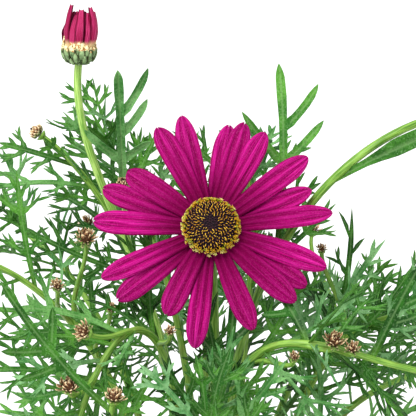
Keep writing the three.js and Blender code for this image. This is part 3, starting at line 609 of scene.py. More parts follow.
class Builder:
    """Drops nodes into a tree and draws the noodles between them."""

    def fill(self, node, inputs):
        """Give a node its values; what another node gives out becomes a link."""
        for key, value in inputs.items():
            socket = node.inputs[key]
            if isinstance(value, Value):
                self.tree.links.new(value.socket, socket)
            elif isinstance(value, tuple) and socket.type == "RGBA":
                socket.default_value = (*value, 1)
            else:
                socket.default_value = value
        return node

    def node(self, kind, inputs, **settings):
        node = self.tree.nodes.new(kind)
        for key, value in settings.items():
            setattr(node, key, value)
        return self.fill(node, inputs)

    def add(self, kind, inputs=None, output=0, **settings):
        return Value(self, self.node(kind, inputs or {}, **settings).outputs[output])

    def math(self, operation, *values):
        return self.add("ShaderNodeMath", dict(enumerate(values)), operation=operation)

    def vector(self, *values):
        return self.add("ShaderNodeCombineXYZ", dict(enumerate(values)))


# %% [markdown]
# A finish is painted like a model kit: a ground of two colours, then coats that each cover
# it as far as some pattern says. The pattern is soft noise or a number stored on the mesh,
# and a ramp decides where it begins and ends. Nothing has to be unwrapped for this.


# %% Finish builder
def srgb(colour):
    """A colour as a picture editor names it, 0 to 255, in the linear measure of shaders."""
    return tuple(c / 255 / 12.92 if c <= 10 else ((c / 255 + 0.055) / 1.055) ** 2.4
                 for c in colour)


class Finish(Builder):
    """A procedural material in coats; its noise reads the piece's own Object coordinate."""

    def __init__(self, name, roughness, shine):
        self.material = bpy.data.materials.new(name)
        self.material.use_nodes = True
        self.tree = self.material.node_tree
        self.shader = self.tree.nodes["Principled BSDF"]
        self.place = self.add("ShaderNodeTexCoord", output="Object")
        self.fill(self.shader, {"Roughness": roughness, "Specular IOR Level": shine})

    def noise(self, scale, detail=3, where=None, stretch=(1, 1, 1)):
        """Soft patches; a larger scale makes smaller patches."""
        at = self.add("ShaderNodeMapping", {"Vector": where or self.place, "Scale": stretch})
        return self.add("ShaderNodeTexNoise", {"Vector": at, "Scale": scale, "Detail": detail})

    def number(self, name):
        """An attribute that was stored on the mesh's points."""
        return self.add("ShaderNodeAttribute", output="Fac", attribute_name=name)

    def numbers(self, *names):
        return [self.number(name) for name in names]

    def mix(self, share, a, b):
        a, b = (srgb(c) if isinstance(c, tuple) else c for c in (a, b))
        return self.add("ShaderNodeMix", {0: share, 6: a, 7: b}, 2, data_type="RGBA")

    def ground(self, share, a, b):
        """The first coat: two colours, mixed by a share."""
        self.colour = self.mix(share, a, b)
        self.fill(self.shader, {"Base Color": self.colour})

    def coat(self, share, colour):
        """A further colour over the ones before it, as far as the share says."""
        self.ground(share, self.colour, colour)

    def bump(self, height, distance, strength=0.5):
        fine_specks = self.add("ShaderNodeBump",
                         {"Height": height, "Distance": distance, "Strength": strength})
        self.fill(self.shader, {"Normal": fine_specks})

    def glow_through(self, share):
        """Thin leaves and petals let some light through to the other side."""
        through = self.add("ShaderNodeBsdfTranslucent", {"Color": self.colour})
        both = self.add("ShaderNodeMixShader",
                        {0: share, 1: Value(self, self.shader.outputs[0]), 2: through})
        self.fill(self.tree.nodes["Material Output"], {"Surface": both})

    def report(self):
        print(f"{self.material.name}: {len(self.tree.nodes)} nodes")


# %% Geometry Nodes builder
class NodeTree(Builder):
    """A Geometry Nodes tree with named inputs."""

    def __init__(self, name, **inputs):
        self.tree = bpy.data.node_groups.new(name, "GeometryNodeTree")
        self.tree.is_modifier = True
        interface = self.tree.interface
        for way in ("INPUT", "OUTPUT"):
            interface.new_socket("Geometry", in_out=way, socket_type="NodeSocketGeometry")
        self.ids = {}
        for key, value in inputs.items():
            kind = "Int" if isinstance(value, int) else "Float"
            socket = interface.new_socket(key, in_out="INPUT", socket_type=f"NodeSocket{kind}")
            socket.default_value = value
            self.ids[key] = socket.identifier
        self.source = self.tree.nodes.new("NodeGroupInput").outputs
        self.sink = self.tree.nodes.new("NodeGroupOutput")

    def __getitem__(self, name):
        """One of the tree's own inputs."""
        return Value(self, self.source[name])

    def curve(self, value, points):
        """A value read off a curve that is drawn through the given points."""
        node = self.node("ShaderNodeFloatCurve", {"Value": value})
        line = node.mapping.curves[0]
        for x, y in points[1:-1]:
            line.points.new(x, y)
        line.points[0].location = points[0]
        line.points[-1].location = points[-1]
        node.mapping.update()
        return Value(self, node.outputs[0])

    def random(self, low, high, seed):
        return self.add("FunctionNodeRandomValue", {2: low, 3: high, "Seed": seed}, 1)

    def store(self, geometry, name, value, domain="POINT"):
        """Keep a number on the points, or on the instances, for the finish to read."""
        return self.add("GeometryNodeStoreNamedAttribute", {
            "Geometry": geometry, "Name": name, "Value": value,
        }, data_type="FLOAT", domain=domain)

    def finish(self, geometry, material):
        """Every tree ends in real faces that carry a material."""
        real = self.add("GeometryNodeRealizeInstances", {0: geometry})
        painted = self.add("GeometryNodeSetMaterial", {0: real, "Material": material})
        self.fill(self.sink, {0: painted})
        return self

    def run(self, thing, name, **values):
        """Run the tree on an object and keep the result as a plain mesh object."""
        modifier = thing.modifiers.new("nodes", "NODES")
        modifier.node_group = self.tree
        for key, value in values.items():
            modifier[self.ids[key]] = value
        mesh = baked(thing)
        bpy.data.objects.remove(thing)
        mesh.name = name
        return in_scene(name, mesh)


# %% Mesh helpers
def in_scene(name, data):
    """A new object for a mesh, a curve, a lamp or a camera."""
    made = bpy.data.objects.new(name, data)
    bpy.context.scene.collection.objects.link(made)
    return made


def baked(thing):
    """The mesh of an object as its modifiers leave it."""
    graph = bpy.context.evaluated_depsgraph_get()
    return bpy.data.meshes.new_from_object(thing.evaluated_get(graph), depsgraph=graph)


def mesh_object(name, points, faces, material=None, numbers=None):
    """A mesh from arrays in millimetres; `numbers` are values kept on its points."""
    mesh = bpy.data.meshes.new(name)
    mesh.from_pydata((np.asarray(points, float) * MM).tolist(), [], faces)
    for key, values in (numbers or {}).items():
        attribute = mesh.attributes.new(key, "FLOAT", "POINT")
        attribute.data.foreach_set("value", np.asarray(values, np.float32))
    if material:
        mesh.materials.append(material)
    mesh.shade_smooth()
    return in_scene(name, mesh)


def close_blade(points, faces, lower):
    """A closed thin body from an upper skin: a lower skin and a wall round every edge."""
    count = len(points)
    below = [(a + count, c + count, b + count) for a, b, c in faces]
    used = {edge for a, b, c in faces for edge in ((a, b), (b, c), (c, a))}
    walls = sorted((b, a, a + count, b + count) for a, b in used if (b, a) not in used)
    return np.vstack([points, lower]), [*faces, *below, *walls]


def standing(place, axis):
    """The matrix that stands a piece drawn on +Z at a place, along an axis."""
    turn = Vector((0, 0, 1)).rotation_difference(Vector(axis))
    return Matrix.Translation(Vector(place) * MM) @ turn.to_matrix().to_4x4()


def join(name, things):
    """One object from several; materials are kept."""
    with bpy.context.temp_override(active_object=things[0], selected_editable_objects=things,
                                   object=things[0]):
        bpy.ops.object.join()
    things[0].name = things[0].data.name = name
    return things[0]


def placed(thing, *matrices):
    """Move, turn or scale a piece for good, one matrix after the other."""
    for matrix in matrices:
        thing.data.transform(matrix)
    return thing


# %% Grids, rings and heaps
def grid(rows, columns):
    """Shares along and across a blade for each point of a grid: 0 to 1 and -1 to 1."""
    return np.meshgrid(np.linspace(0, 1, rows), np.linspace(-1, 1, columns), indexing="ij")


def grid_faces(rows, columns):
    corners = [j * columns + i for j in range(rows - 1) for i in range(columns - 1)]
    return [face for a in corners
            for face in ((a, a + columns, a + columns + 1), (a, a + columns + 1, a + 1))]


def listed(x, y, z):
    """A list of points from three grids of measures."""
    return np.stack([x, y, z], axis=-1).reshape(-1, 3)


def round_about(radius, k, sectors, height):
    """The k-th point of a ring round +Z."""
    lean = 2 * math.pi * k / sectors
    return radius * math.cos(lean), radius * math.sin(lean), height


def lathe(profile, sectors, closed=True):
    """A profile of (radius, height) points turned round +Z; a closed one makes a ring."""
    points = [round_about(r, k, sectors, z) for k in range(sectors) for r, z in profile]
    count, faces = len(profile), []
    for k in range(sectors):
        for i in range(count if closed else count - 1):
            a, b = k * count + i, k * count + (i + 1) % count
            faces.append((a, (a + count) % len(points), (b + count) % len(points), b))
    return points, faces


class Heap:
    """Many small bodies that become one mesh."""

    def __init__(self):
        self.points, self.faces, self.numbers = [], [], {}

    def add(self, points, faces, **numbers):
        base = sum(len(p) for p in self.points)
        self.points.append(np.asarray(points, float))
        self.faces += [tuple(i + base for i in face) for face in faces]
        for key, value in numbers.items():
            value = np.broadcast_to(np.asarray(value, float), len(points))
            self.numbers.setdefault(key, []).append(value)

    def made(self, name, material):
        numbers = {key: np.concatenate(values) for key, values in self.numbers.items()}
        return mesh_object(name, np.vstack(self.points), self.faces, material, numbers)


pieces = []


def keep(piece, slot, *nodes):
    """Note a finished piece with its finish slot and the solids that it stands for."""
    pieces.append((piece, slot, nodes))
    print(f"{piece.name}: {len(piece.data.polygons)} faces")


# %% [markdown]
# ## Leaves
# A marguerite leaf is cut twice: a winged rib carries lobes and the lobes carry teeth, all
# in one sheet of green. It is drawn flat as a strip of short rows, right edge, middle and
# left edge. A lobe grows out of one short stretch of its parent's edge, with the same
# points, so the sheet is one piece with no seams. Leaves near the flowers are simpler:
# broad straps with blunt ends.


# %% Draw a leaf flat
CREASE = 0.4  # depth of the fold along a lobe, as a share of half its width
SLENDER = 0.8  # how much narrower the cut leaves are than their solids
HERO_FOOT = 3.2  # only the blunt straps that were placed one by one have broader feet than this
TOOTH_FOOT, END_TOOTH_FOOT = 1.4, 1.9
BLUNT_END, SHARP_END, SHARP_TIP = (0.6, 2.6), (0.4, 1.6), (0.35, 1.7)


class Sheet:
    """The upper skin of a leaf in its flat measure."""

    def __init__(self, dice):
        self.dice = dice
        self.points = []
        self.faces = []

    def add(self, along, across, rise, rib, reach):
        self.points.append((along, across, rise, rib, reach))
        return len(self.points) - 1

    def strip(self, line, half, length, rows, root, branches=(), lift=(0, 0), reach=0.0):
        """One strip of leaf along a line, with narrower strips branching off its edges."""
        cuts = {}
        for share, side, foot, child in branches:
            span = foot / length / 2
            cuts.setdefault((share - span, share + span), []).append((side, child))
        marks = set(rows)
        for low, high in cuts:
            marks = {m for m in marks if not low - 0.02 < m < high + 0.02}
        marks |= {end for cut in cuts for end in cut}
        last, last_share = root, 0
        for share in sorted(marks):
            centre, ahead = line(share)
            left = np.array([-ahead[1], ahead[0]])
            wide = half(share)
            rise = lift[0] + lift[1] * share * share
            far = reach + (1 - reach) * share
            if share >= 1:
                row = [self.add(*centre, rise, 0, far)] * 3
            else:
                row = [
                    self.add(*(centre - left * wide), rise, 1, far),
                    self.add(*centre, rise - CREASE * wide, 0, far),
                    self.add(*(centre + left * wide), rise, 1, far),
                ]
            grown = dict(cuts.get((last_share, share), []))
            self.bridge(last, row, grown, rise, far)
            last, last_share = row, share

    def bridge(self, low, high, grown, rise, reach):
        (r0, m0, l0), (r1, m1, l1) = low, high
        if r1 == m1:
            self.faces += [(r0, m1, m0), (m0, m1, l0)]
            return
        if -1 in grown:
            e = self.between(r0, r1)
            self.faces += [(r0, e, m0), (e, m1, m0), (e, r1, m1)]
            grown[-1](self, (r0, e, r1), rise, reach)
        else:
            self.faces += [(r0, r1, m1), (r0, m1, m0)]
        if 1 in grown:
            e = self.between(l0, l1)
            self.faces += [(m0, e, l0), (m0, m1, e), (m1, l1, e)]
            grown[1](self, (l1, e, l0), rise, reach)
        else:
            self.faces += [(m0, m1, l1), (m0, l1, l0)]

    def between(self, a, b):
        middle = (np.array(self.points[a]) + np.array(self.points[b])) / 2
        return self.add(*middle)


# %% Outline of a lobe
def smooth(x):
    x = min(1, max(0, x))
    return x * x * (3 - 2 * x)


def taper(share, start, power):
    """The full width up to the start of the end, then less and less of it."""
    return 1 - (max(0, share - start) / (1 - start)) ** power


def strap(foot, wide, blunt):
    """Half width along a lobe: a broad foot, an even strap, then a blunt or a sharp end."""
    end = BLUNT_END if blunt else SHARP_END
    return lambda share: mix(foot, wide, smooth(share / 0.26)) * taper(share, *end)


def bowed(start, end, bow):
    """A line from start to end that bows to one side, with its heading."""
    start, end = np.array(start, float), np.array(end, float)
    chord = end - start
    middle = (start + end) / 2 + bow * np.array([-chord[1], chord[0]])

    def at(share):
        k = 1 - share
        point = k * k * start + 2 * k * share * middle + share * share * end
        ahead = 2 * k * (middle - start) + 2 * share * (end - middle)
        return point, ahead / math.hypot(*ahead)

    return at


# %% Teeth and lobes
BLUNT_ROWS = (0.09, 0.2, 0.36, 0.55, 0.75, 0.88, 0.96, 1)
SHARP_ROWS = (0.1, 0.24, 0.55, 0.84, 1)


def tooth(side, length, degrees, foot):
    """A small pointed branch of a lobe."""

    def grow(sheet, root, rise, reach):
        start = np.array(sheet.points[root[1]][:2])
        low, high = (np.array(sheet.points[i][:2]) for i in (root[0], root[2]))
        edge = high - low if side < 0 else low - high
        edge = edge / math.hypot(*edge)
        lean = math.radians(degrees) * side
        turn = np.array([[math.cos(lean), -math.sin(lean)], [math.sin(lean), math.cos(lean)]])
        tip = start + turn @ edge * length
        wide = strap(foot / 2, foot * 0.36, False)
        sheet.strip(bowed(start, tip, -0.08 * side), wide, length, (0.35, 0.7, 1), root,
                    lift=(rise, sheet.dice.uniform(-0.5, 0.9)), reach=reach)

    return grow


def lobe_strip(leaf, lobe, blunt):
    """A lobe whose tip is the tip of the same lobe on the solid."""
    side = lobe[1]

    def grow(sheet, root, rise, reach):
        dice = sheet.dice
        start = np.array(sheet.points[root[1]][:2])
        tip = np.array(lobe_tip(leaf, lobe))
        span = math.hypot(*(tip - start))
        wide = 1.3 if blunt else dice.uniform(0.5, 0.76)
        rows = BLUNT_ROWS if blunt else SHARP_ROWS
        teeth = []
        if not blunt:
            first = dice.choice((-1, 1))
            for i, spot in enumerate((0.4, 0.64) if span > 7 else (0.5,)):
                hand = -first if i else first
                size = min(8, span * dice.uniform(0.4, 0.62)) * (0.8 if i else 1)
                teeth.append((spot, hand, TOOTH_FOOT,
                              tooth(hand, size, dice.uniform(20, 40), TOOTH_FOOT)))
        bow = side * (dice.uniform(0.02, 0.1) if blunt else dice.uniform(0.02, 0.17))
        curl = dice.uniform(-0.12, 0.16) * span
        foot = leaf["foot"] * (1 if blunt else SLENDER)
        sheet.strip(bowed(start, tip, bow), strap(foot / 2, wide, blunt), span, rows, root,
                    teeth, (rise, curl), reach)

    return grow


# %% The whole leaf
def draw_leaf(leaf, dice, blunt):
    """The whole leaf: its winged rib, its lobes and its end lobe."""
    length = leaf["length"]
    slender = 1 if blunt else SLENDER
    foot = leaf["foot"] * slender
    sheet = Sheet(dice)
    cuts = []
    for lobe in leaf["lobes"]:
        for cut in cuts:
            if abs(cut[0] - lobe[0]) * length < foot * 1.2:
                cut[1].append(lobe)
                break
        else:
            cuts.append((lobe[0], [lobe]))
    cuts.sort(key=lambda cut: cut[0])
    branches = [(share, lobe[1], foot, lobe_strip(leaf, lobe, blunt))
                for share, lobes in cuts for lobe in lobes]
    end = cuts[-1][0] + foot / length / 2 if cuts else 0.3
    if not blunt:
        hand = dice.choice((-1, 1))
        for i, spot in enumerate((0.3, 0.55)):
            size = (1 - end) * length * dice.uniform(0.32, 0.46)
            side = hand if i else -hand
            branches.append((mix(end, 1, spot), side, END_TOOTH_FOOT,
                             tooth(side, size, dice.uniform(22, 38), END_TOOTH_FOOT)))
    broad = leaf["broad"] * (0.86 if blunt else 0.56)

    def half(share):
        if share <= end:
            return rib_half(leaf, share) * slender
        over = (share - end) / (1 - end)
        body = mix(rib_half(leaf, end) * slender, broad, smooth(over / 0.4))
        return body * taper(over, *(BLUNT_END if blunt else SHARP_TIP))

    rows = [0.1, 0.2, 0.3, 0.42, 0.54] + [mix(end, 1, s) for s in (0.2, 0.42, 0.74, 0.9)] + [1]
    if blunt:
        rows += [mix(end, 1, s) for s in (0.82, 0.96)]
    start = half(0)
    root = (sheet.add(0, -start, 0, 1, 0), sheet.add(0, 0, -0.2 * start, 0, 0),
            sheet.add(0, start, 0, 1, 0))
    ahead = np.array([1.0, 0])
    sheet.strip(lambda share: (share * length * ahead, ahead), half, length, rows, root, branches)
    return sheet


# %% Leaves as closed bodies
LEAF_THICKNESS = 0.36
USUAL_LOOSE = 0.5


def leaf_heap(leaves, dice):
    """Closed bodies for many leaves; a loose leaf strays further from its solid's shape."""
    heap = Heap()
    for leaf in leaves:
        sheet = draw_leaf(leaf, dice, leaf["foot"] > HERO_FOOT)
        along, across, rise, rib, reach = np.array(sheet.points).T
        share = np.clip(along / leaf["length"], 0, 1)
        loose = leaf.get("loose", USUAL_LOOSE)
        rise = rise + loose * dice.uniform(-0.6, 0.6) * share * across
        bow = loose * dice.uniform(-0.13, 0.13) * leaf["length"]
        across = across + bow * 4 * share * (1 - share)
        upper = on_leaf(leaf, along, across, rise)
        lower = on_leaf(leaf, along, across, rise - LEAF_THICKNESS)
        heap.add(*close_blade(upper, sheet.faces, lower), tone=leaf["tone"],
                 rib=np.tile(rib, 2), reach=np.tile(reach, 2))
    return heap


# %% [markdown]
# The leaf finish starts from two greens, a deep one and a lighter, bluer one, mixed by
# patches and by a number that each leaf carries; that number holds painted light and shade
# as well as chance. The middle of every lobe is a little lighter, where the vein runs, fine
# pale flecks are partly a pale bloom and partly a painted sheen, and the edges are thin
# enough to glow when lit from behind.

# %% Leaf finish
leaf_finish = Finish("leaf green", 0.5, 0.2)
patches, fine = leaf_finish.noise(120, 4), leaf_finish.noise(1600, 3)
tone, rib, reach = leaf_finish.numbers("tone", "rib", "reach")
blotches = patches.ramp(0.4, 0.6)
deep_green = leaf_finish.mix(blotches, (16, 66, 8), (44, 106, 26))
blue_green = leaf_finish.mix(blotches, (74, 140, 72), (148, 202, 140))
leaf_finish.ground(patches.ramp(0.36, 0.64), (48, 116, 26), (92, 160, 52))
# Painted light and shade: a high tone lays on the paler blue-green, a low one the deep green.
leaf_finish.coat(tone.ramp(0.55, 1.0), blue_green)
leaf_finish.coat(tone.ramp(0.5, 0.0), deep_green)
leaf_finish.coat(rib.ramp(0.0, 0.4, 0.45, 0.0) * fine.ramp(0.3, 0.6, 0.3, 1.0), (146, 186, 120))
leaf_finish.coat(reach.ramp(0.25, 0.0, 0.0, 0.5), (104, 150, 46))
leaf_finish.coat(fine.ramp(0.5, 0.66, 0.0, 0.4), (24, 70, 20))
# Pale flecks: partly a pale bloom on the leaf, partly a painted sheen.
leaf_finish.coat(fine.ramp(0.46, 0.3, 0.0, 0.35), (150, 190, 134))
leaf_finish.bump(fine, 0.0003)
leaf_finish.glow_through(0.2)
leaf_finish.report()

# %% [markdown]
# The solids carry the large leaves. Between them a real plant has many small ones, which
# fill the mound. They are sprouted by the same rule on the same shoots, with a smaller
# clearance, and they only exist here.

# %% Sprout the small leaves
dice = random.Random(811)
FILL = {"long": (44, 26), "gap": -1.1, "cut": {"foot": 2.6, "broad": 1.6, "wing": 1.1}}
FILL_LEAVES = {
    "stem_front": 22, "stem_front_left": 11, "stem_front_right": 11, "stem_high_left": 9,
    "stem_high_back": 10, "stem_right": 5, "stem_back_left": 4, "stem_back_right": 4,
    "stem_back": 6,
}
YOUNG = {"long": (27, 18), "gap": 0.0, "cut": {"foot": 1.6, "broad": 0.95, "wing": 0.65}}
YOUNG_LEAVES = {
    "stem_front": 20, "stem_high_back": 20, "stem_low_left": 2, "stem_low_right": 2,
    "stem_low_side": 2, "stem_left": 6, "stem_right": 8, "stem_upper_left": 9,
    "stem_high_left": 18,
}
USUAL_YOUNG = 14
ROOM = 0.7  # the share of a leaf's radii that a small leaf keeps clear


def thicken(name, kind, count):
    """More leaves on a shoot, of one kind; the kind's cut replaces the usual one."""
    low, high = SHOOTS[name]["spread"]
    young = dict(SHOOTS[name], spread=(low - 0.04, min(0.99, high + 0.02)), leaves=count,
                 long=kind["long"], gap=kind["gap"])
    for level in range(count):
        draws = [dice.random() for _ in range(6)]
        leaf = sprout(name, young, level, dice.uniform(0, 6.3), draws)
        if leaf:
            leaf.update(kind["cut"], loose=1)
            claim(name, leaf, "young", ROOM)


for name, shoot in leafy:
    shoot["young"] = []
    if name in FILL_LEAVES:
        thicken(name, FILL, FILL_LEAVES[name])
for name, shoot in leafy:
    thicken(name, YOUNG, YOUNG_LEAVES.get(name, USUAL_YOUNG))
    print(name, "small leaves:", len(shoot["young"]))

# The light tip of one shoot stands up behind the stalk of the upper bud.
TIP_SHOOT = SHOOTS["stem_high_left"]
TIP_SPRAYS = [(-39.6, 21, 242), (-49, 21, 240), (-35, 19.5, 235), (-50, 19, 230), (-43, 20, 236)]
TIP_CUT = {"foot": 1.3, "broad": 0.72, "wing": 0.46}
tip_dice = random.Random(4)
for tip in TIP_SPRAYS:
    leaf = hero_leaf(TIP_SHOOT["path"], (tip_dice.uniform(0.9, 1), tip, (0, -0.9, 0.4), 0.25,
                                         [], "slim"))
    cut = cut_leaf(None, None, None, leaf["length"], 0, [tip_dice.random() for _ in range(6)])
    leaf.update(TIP_CUT, lobes=cut["lobes"], loose=1)
    TIP_SHOOT["young"].append(leaf)

# %% [markdown]
# Each leaf carries one number, its tone, which the finish reads. For the large straps and
# the highest young leaves it is painted light and shade: a higher tip is painted paler and
# bluer, as if it caught more light, and a lower one or one on the right deeper green, as
# painted shade. The other leaves take their tone by chance. All leaves of a shoot become one
# mesh, as they are one solid in the CAD model.

# %% Build the leaves of every shoot
YOUNG_FOOT = 2  # only the youngest leaves have a narrower foot than this
LIT_FROM = 195  # the youngest leaves above this height are lighter
SUNLIT = ([180, 250], [0.05, 0.72])  # heights of a leaf's tip and the tones that go with them
RIGHT_SHADE = 0.16  # leaves on the right are that much deeper
SIMPLE_TONE = 0.2  # the leaf without lobes is a deep green


def toned(leaf):
    """Set a leaf's tone: painted light and shade by its place for large and high ones, else
    chance.
    """
    tone = dice.uniform(0, 1)
    if leaf["foot"] > HERO_FOOT:
        # Painted light by the height of the tip, painted shade on the right.
        tip_height = leaf["base"][2] + leaf["along"][2] * leaf["length"]
        tone = float(np.interp(tip_height, *SUNLIT)) - (RIGHT_SHADE if leaf["base"][0] > 0 else 0)
        tone = tone if leaf["lobes"] else SIMPLE_TONE
        leaf.update(tone=tone + dice.uniform(-0.05, 0.05), loose=0.3)
    elif leaf["foot"] < YOUNG_FOOT and leaf["base"][2] > LIT_FROM:
        # Painted light on the youngest leaves that stand high.
        leaf["tone"] = 0.45 + 0.55 * tone
    else:
        leaf["tone"] = tone
    return leaf


for name, shoot in SHOOTS.items():
    leaves = [toned(leaf) for leaf in shoot["grown"] + shoot.get("young", [])]
    if leaves:
        piece = leaf_heap(leaves, dice).made(f"{name}_leaves", leaf_finish.material)
        piece.data.set_sharp_from_angle(angle=math.radians(50))
        shoot["leaf_piece"] = piece
        print(f"{piece.name}: {len(leaves)} leaves")

# %% [markdown]
# ## Stems
# A stem follows a path, so Geometry Nodes draws it: the path is a curve, a small star is
# the cross section, and Curve to Mesh sweeps one along the other. The star's points become
# the fine ridges that run up a daisy's stem. Each point of the curve keeps its own radius,
# which thins the stem towards its top.


# %% Ridged stem tree
def ridged_stem_tree(material):
    nodes = NodeTree("ridged stem", Radius=1.0 * MM, Ridge_depth=0.12, Ridges=9)
    section = nodes.add("GeometryNodeCurveStar", {
        "Points": nodes["Ridges"], "Inner Radius": nodes["Radius"] * (1.0 - nodes["Ridge_depth"]),
        "Outer Radius": nodes["Radius"],
    })
    factor, length = (nodes.add("GeometryNodeSplineParameter", output=name)
                      for name in ("Factor", "Length"))
    turn = factor * (2 * math.pi)
    path = nodes.store(nodes["Geometry"], "along", length)
    rim = nodes.store(section, "side", nodes.math("SINE", turn))
    rim = nodes.store(rim, "front", nodes.math("COSINE", turn))
    swept = nodes.add("GeometryNodeCurveToMesh", {
        "Curve": path, "Profile Curve": rim, "Fill Caps": True,
        "Scale": nodes.add("GeometryNodeInputRadius"),
    })
    return nodes.finish(nodes.add("GeometryNodeSetShadeSmooth", {0: swept}), material)


def path_object(name, paths):
    """A curve object; each path is a list of points in millimetres with a radius share."""
    curve = bpy.data.curves.new(name, "CURVE")
    curve.dimensions = "3D"
    for points in paths:
        line = curve.splines.new("POLY")
        line.points.add(len(points) - 1)
        for spot, (place, share) in zip(line.points, points):
            spot.co = (*(np.asarray(place) * MM), 1)
            spot.radius = share
    return in_scene(name, curve)


# %% [markdown]
# A stem's skin is yellow-green with pale streaks that run along it. Noise would lie across
# it in blotches, so the noise is read round and along the stem instead: the tree stored
# where each point lies, and a long step along counts as much as a short one round.

# %% Stem finish
def stem_finish(name, low, high, brown):
    """Yellow-green with pale ridges; brown is how much a leafy stem has weathered."""
    made = Finish(name, 0.45, 0.4)
    side, front, along = made.numbers("side", "front", "along")
    streaks = made.noise(2.2, 3, made.vector(side, front, along * 60.0))
    made.ground(streaks.ramp(0.36, 0.62), low, high)
    if brown:
        made.coat(made.noise(160, 3).ramp(0.55, 0.72, 0, brown), (112, 84, 46))
    made.bump(streaks, 0.0002)
    made.report()
    return made.material


leafy_stem = stem_finish("leafy stem", (88, 138, 40), (142, 184, 76), 0.35)
flower_stalk = stem_finish("flower stalk", (76, 126, 26), (134, 178, 70), 0.0)
# The stalk of the upper bud gets a lighter copy of the stalk finish: painted light.
lit_stalk = stem_finish("lit stalk", (112, 164, 56), (178, 214, 112), 0.0)

# %% Sweep the stems
leafy_tree, stalk_tree, lit_stalk_tree = (
    ridged_stem_tree(skin) for skin in (leafy_stem, flower_stalk, lit_stalk))
trees = {"bud_stalk": lit_stalk_tree, "bloom_stalk": stalk_tree, "side_bud_stalk": stalk_tree}
STEM_ROWS = 40
TWIG_ROWS = 14


def swept_path(path, rows, first, last):
    """The points of a path with the share of the radius at each."""
    return [(bezier(path, i / rows), mix(first, last, i / rows)) for i in range(rows + 1)]


for name, shoot in SHOOTS.items():
    top = shoot.get("radius", STEM_RADIUS) * 0.85 if name.endswith("stalk") else 0.9
    bottom = shoot.get("radius", STEM_RADIUS)
    paths = [swept_path(shoot["path"], STEM_ROWS, bottom, top)]
    paths += [swept_path(sprig, TWIG_ROWS, 1, 0.72) for sprig in shoot["sprigs"]]
    shoot["stem_piece"] = trees.get(name, leafy_tree).run(path_object("path", paths),
                                                          f"{name}_stem")
    print(name, len(shoot["stem_piece"].data.polygons))

# %% [markdown]
# ## The open bloom
# A ray floret is a long flat petal with two grooves along it, a rounded end with tiny
# notches, and a gentle arch from root to tip. It is a grid of points moved by a few plain
# formulas. The petals differ in width, side bend, twist and notches, as real ones do.


# %% Petal shape
def head_frame():
    """The matrix that puts the bloom's own measure in place: +Z looks out of its face."""
    place = Vector(BLOOM_CENTRE - 4.5 * BLOOM_AXIS) * MM
    return Matrix.Translation(place) @ Matrix.Rotation(math.pi / 2 - BLOOM_TILT, 4, "X")


PETAL_ACROSS = 21
PETAL_ALONG = 26
PETAL_THICKNESS = 0.34
PETAL_ROOT = RECEPTACLE_RADIUS - 4
GROOVE_SPACING = 0.74


def petal(index, turn, reach, layer, dice):
    """One ray floret in the bloom's measure, with numbers for its finish."""
    span = reach - PETAL_ROOT
    width = PETAL_WIDTH * mix(0.94, 1.06, (index * 0.37) % 1)
    bow, twist = dice.uniform(-1.1, 1.1), dice.uniform(-0.35, 0.35)
    sag = dice.uniform(-0.4, 0.6)
    v, u = grid(PETAL_ALONG, PETAL_ACROSS)
    v = 1 - (1 - v) ** 1.6
    body = np.interp(v, [0, 0.2, 0.4, 0.62, 0.8, 1], [0.31, 0.37, 0.45, 0.5, 0.49, 0.45])
    shoulder = dice.uniform(0.68, 0.8)
    tip = np.sqrt(np.maximum(1 - (np.maximum(v - shoulder, 0) / (1 - shoulder)) ** 2, 0.01))
    half = body * tip * width
    notch = dice.uniform(0.0, 0.03) * np.exp(-((u / 0.3) ** 2))
    along = span * v * (1 - notch * v**8)
    across = half * u + bow * v**2
    depth = np.interp(v, [0, 0.15, 0.7, 0.92, 1], [0.34, 0.3, 0.26, 0.14, 0.02])
    ridge = np.cos(2 * np.pi * u / GROOVE_SPACING) * depth * dice.uniform(0.8, 1.15)
    ripple = 0.14 * np.sin(v * 9 + index * 2.3 + np.sign(u) * 1.1) * np.abs(u) ** 3 * v
    rise = ridge + 0.1 - 0.32 * u**2 + twist * u * v * 2 + ripple + sag * v**3 * 0.9
    high = 2.6 - 1.25 * layer + rise + 0.05 * along - 0.0035 * along**2
    lean = math.radians(turn)
    radial = PETAL_ROOT + along
    upper = listed(radial * math.cos(lean) - across * math.sin(lean),
                   radial * math.sin(lean) + across * math.cos(lean), high)
    return upper, upper - [0, 0, PETAL_THICKNESS], u.ravel(), v.ravel()


# %% [markdown]
# A petal is deep magenta at its root and paler towards its end, with fine threads that
# run along it. Its two grooves carry dark lines of painted shade, the crests between them a
# painted highlight that grows towards the end, and fine pale specks are painted glints. A
# painted picture could show that, but it would need unwrapping. Here the noise is stretched
# over the petal's own two measures, across and along, and each petal adds its own number,
# so no two are alike.

# %% Petal finish
petal_finish = Finish("magenta petal", 0.5, 0.02)
across, along, own = petal_finish.numbers("across", "along", "tone")
sheet = petal_finish.vector(across + own * 37.0, along)
streaks = petal_finish.noise(1.0, 4, sheet, (7, 1.2, 1))
threads = petal_finish.noise(1.0, 3, sheet, (26, 3, 1))
petal_finish.ground(streaks.ramp(0.34, 0.66), (120, 0, 70), (182, 0, 114))
petal_finish.coat(along.ramp(0.05, 0.65, 0.95, 0.0), (92, 0, 42))
# Painted highlight along the crests between the grooves, stronger towards the end.
crest_highlight = petal_finish.math("COSINE", across * (2 * math.pi / GROOVE_SPACING))
crest_highlight = crest_highlight.ramp(-0.4, 1.0, -0.08, 0.04) + threads
petal_finish.coat(along.ramp(0.15, 0.95, 0.15, 1.0) * crest_highlight.ramp(0.42, 0.62), (224, 38, 160))
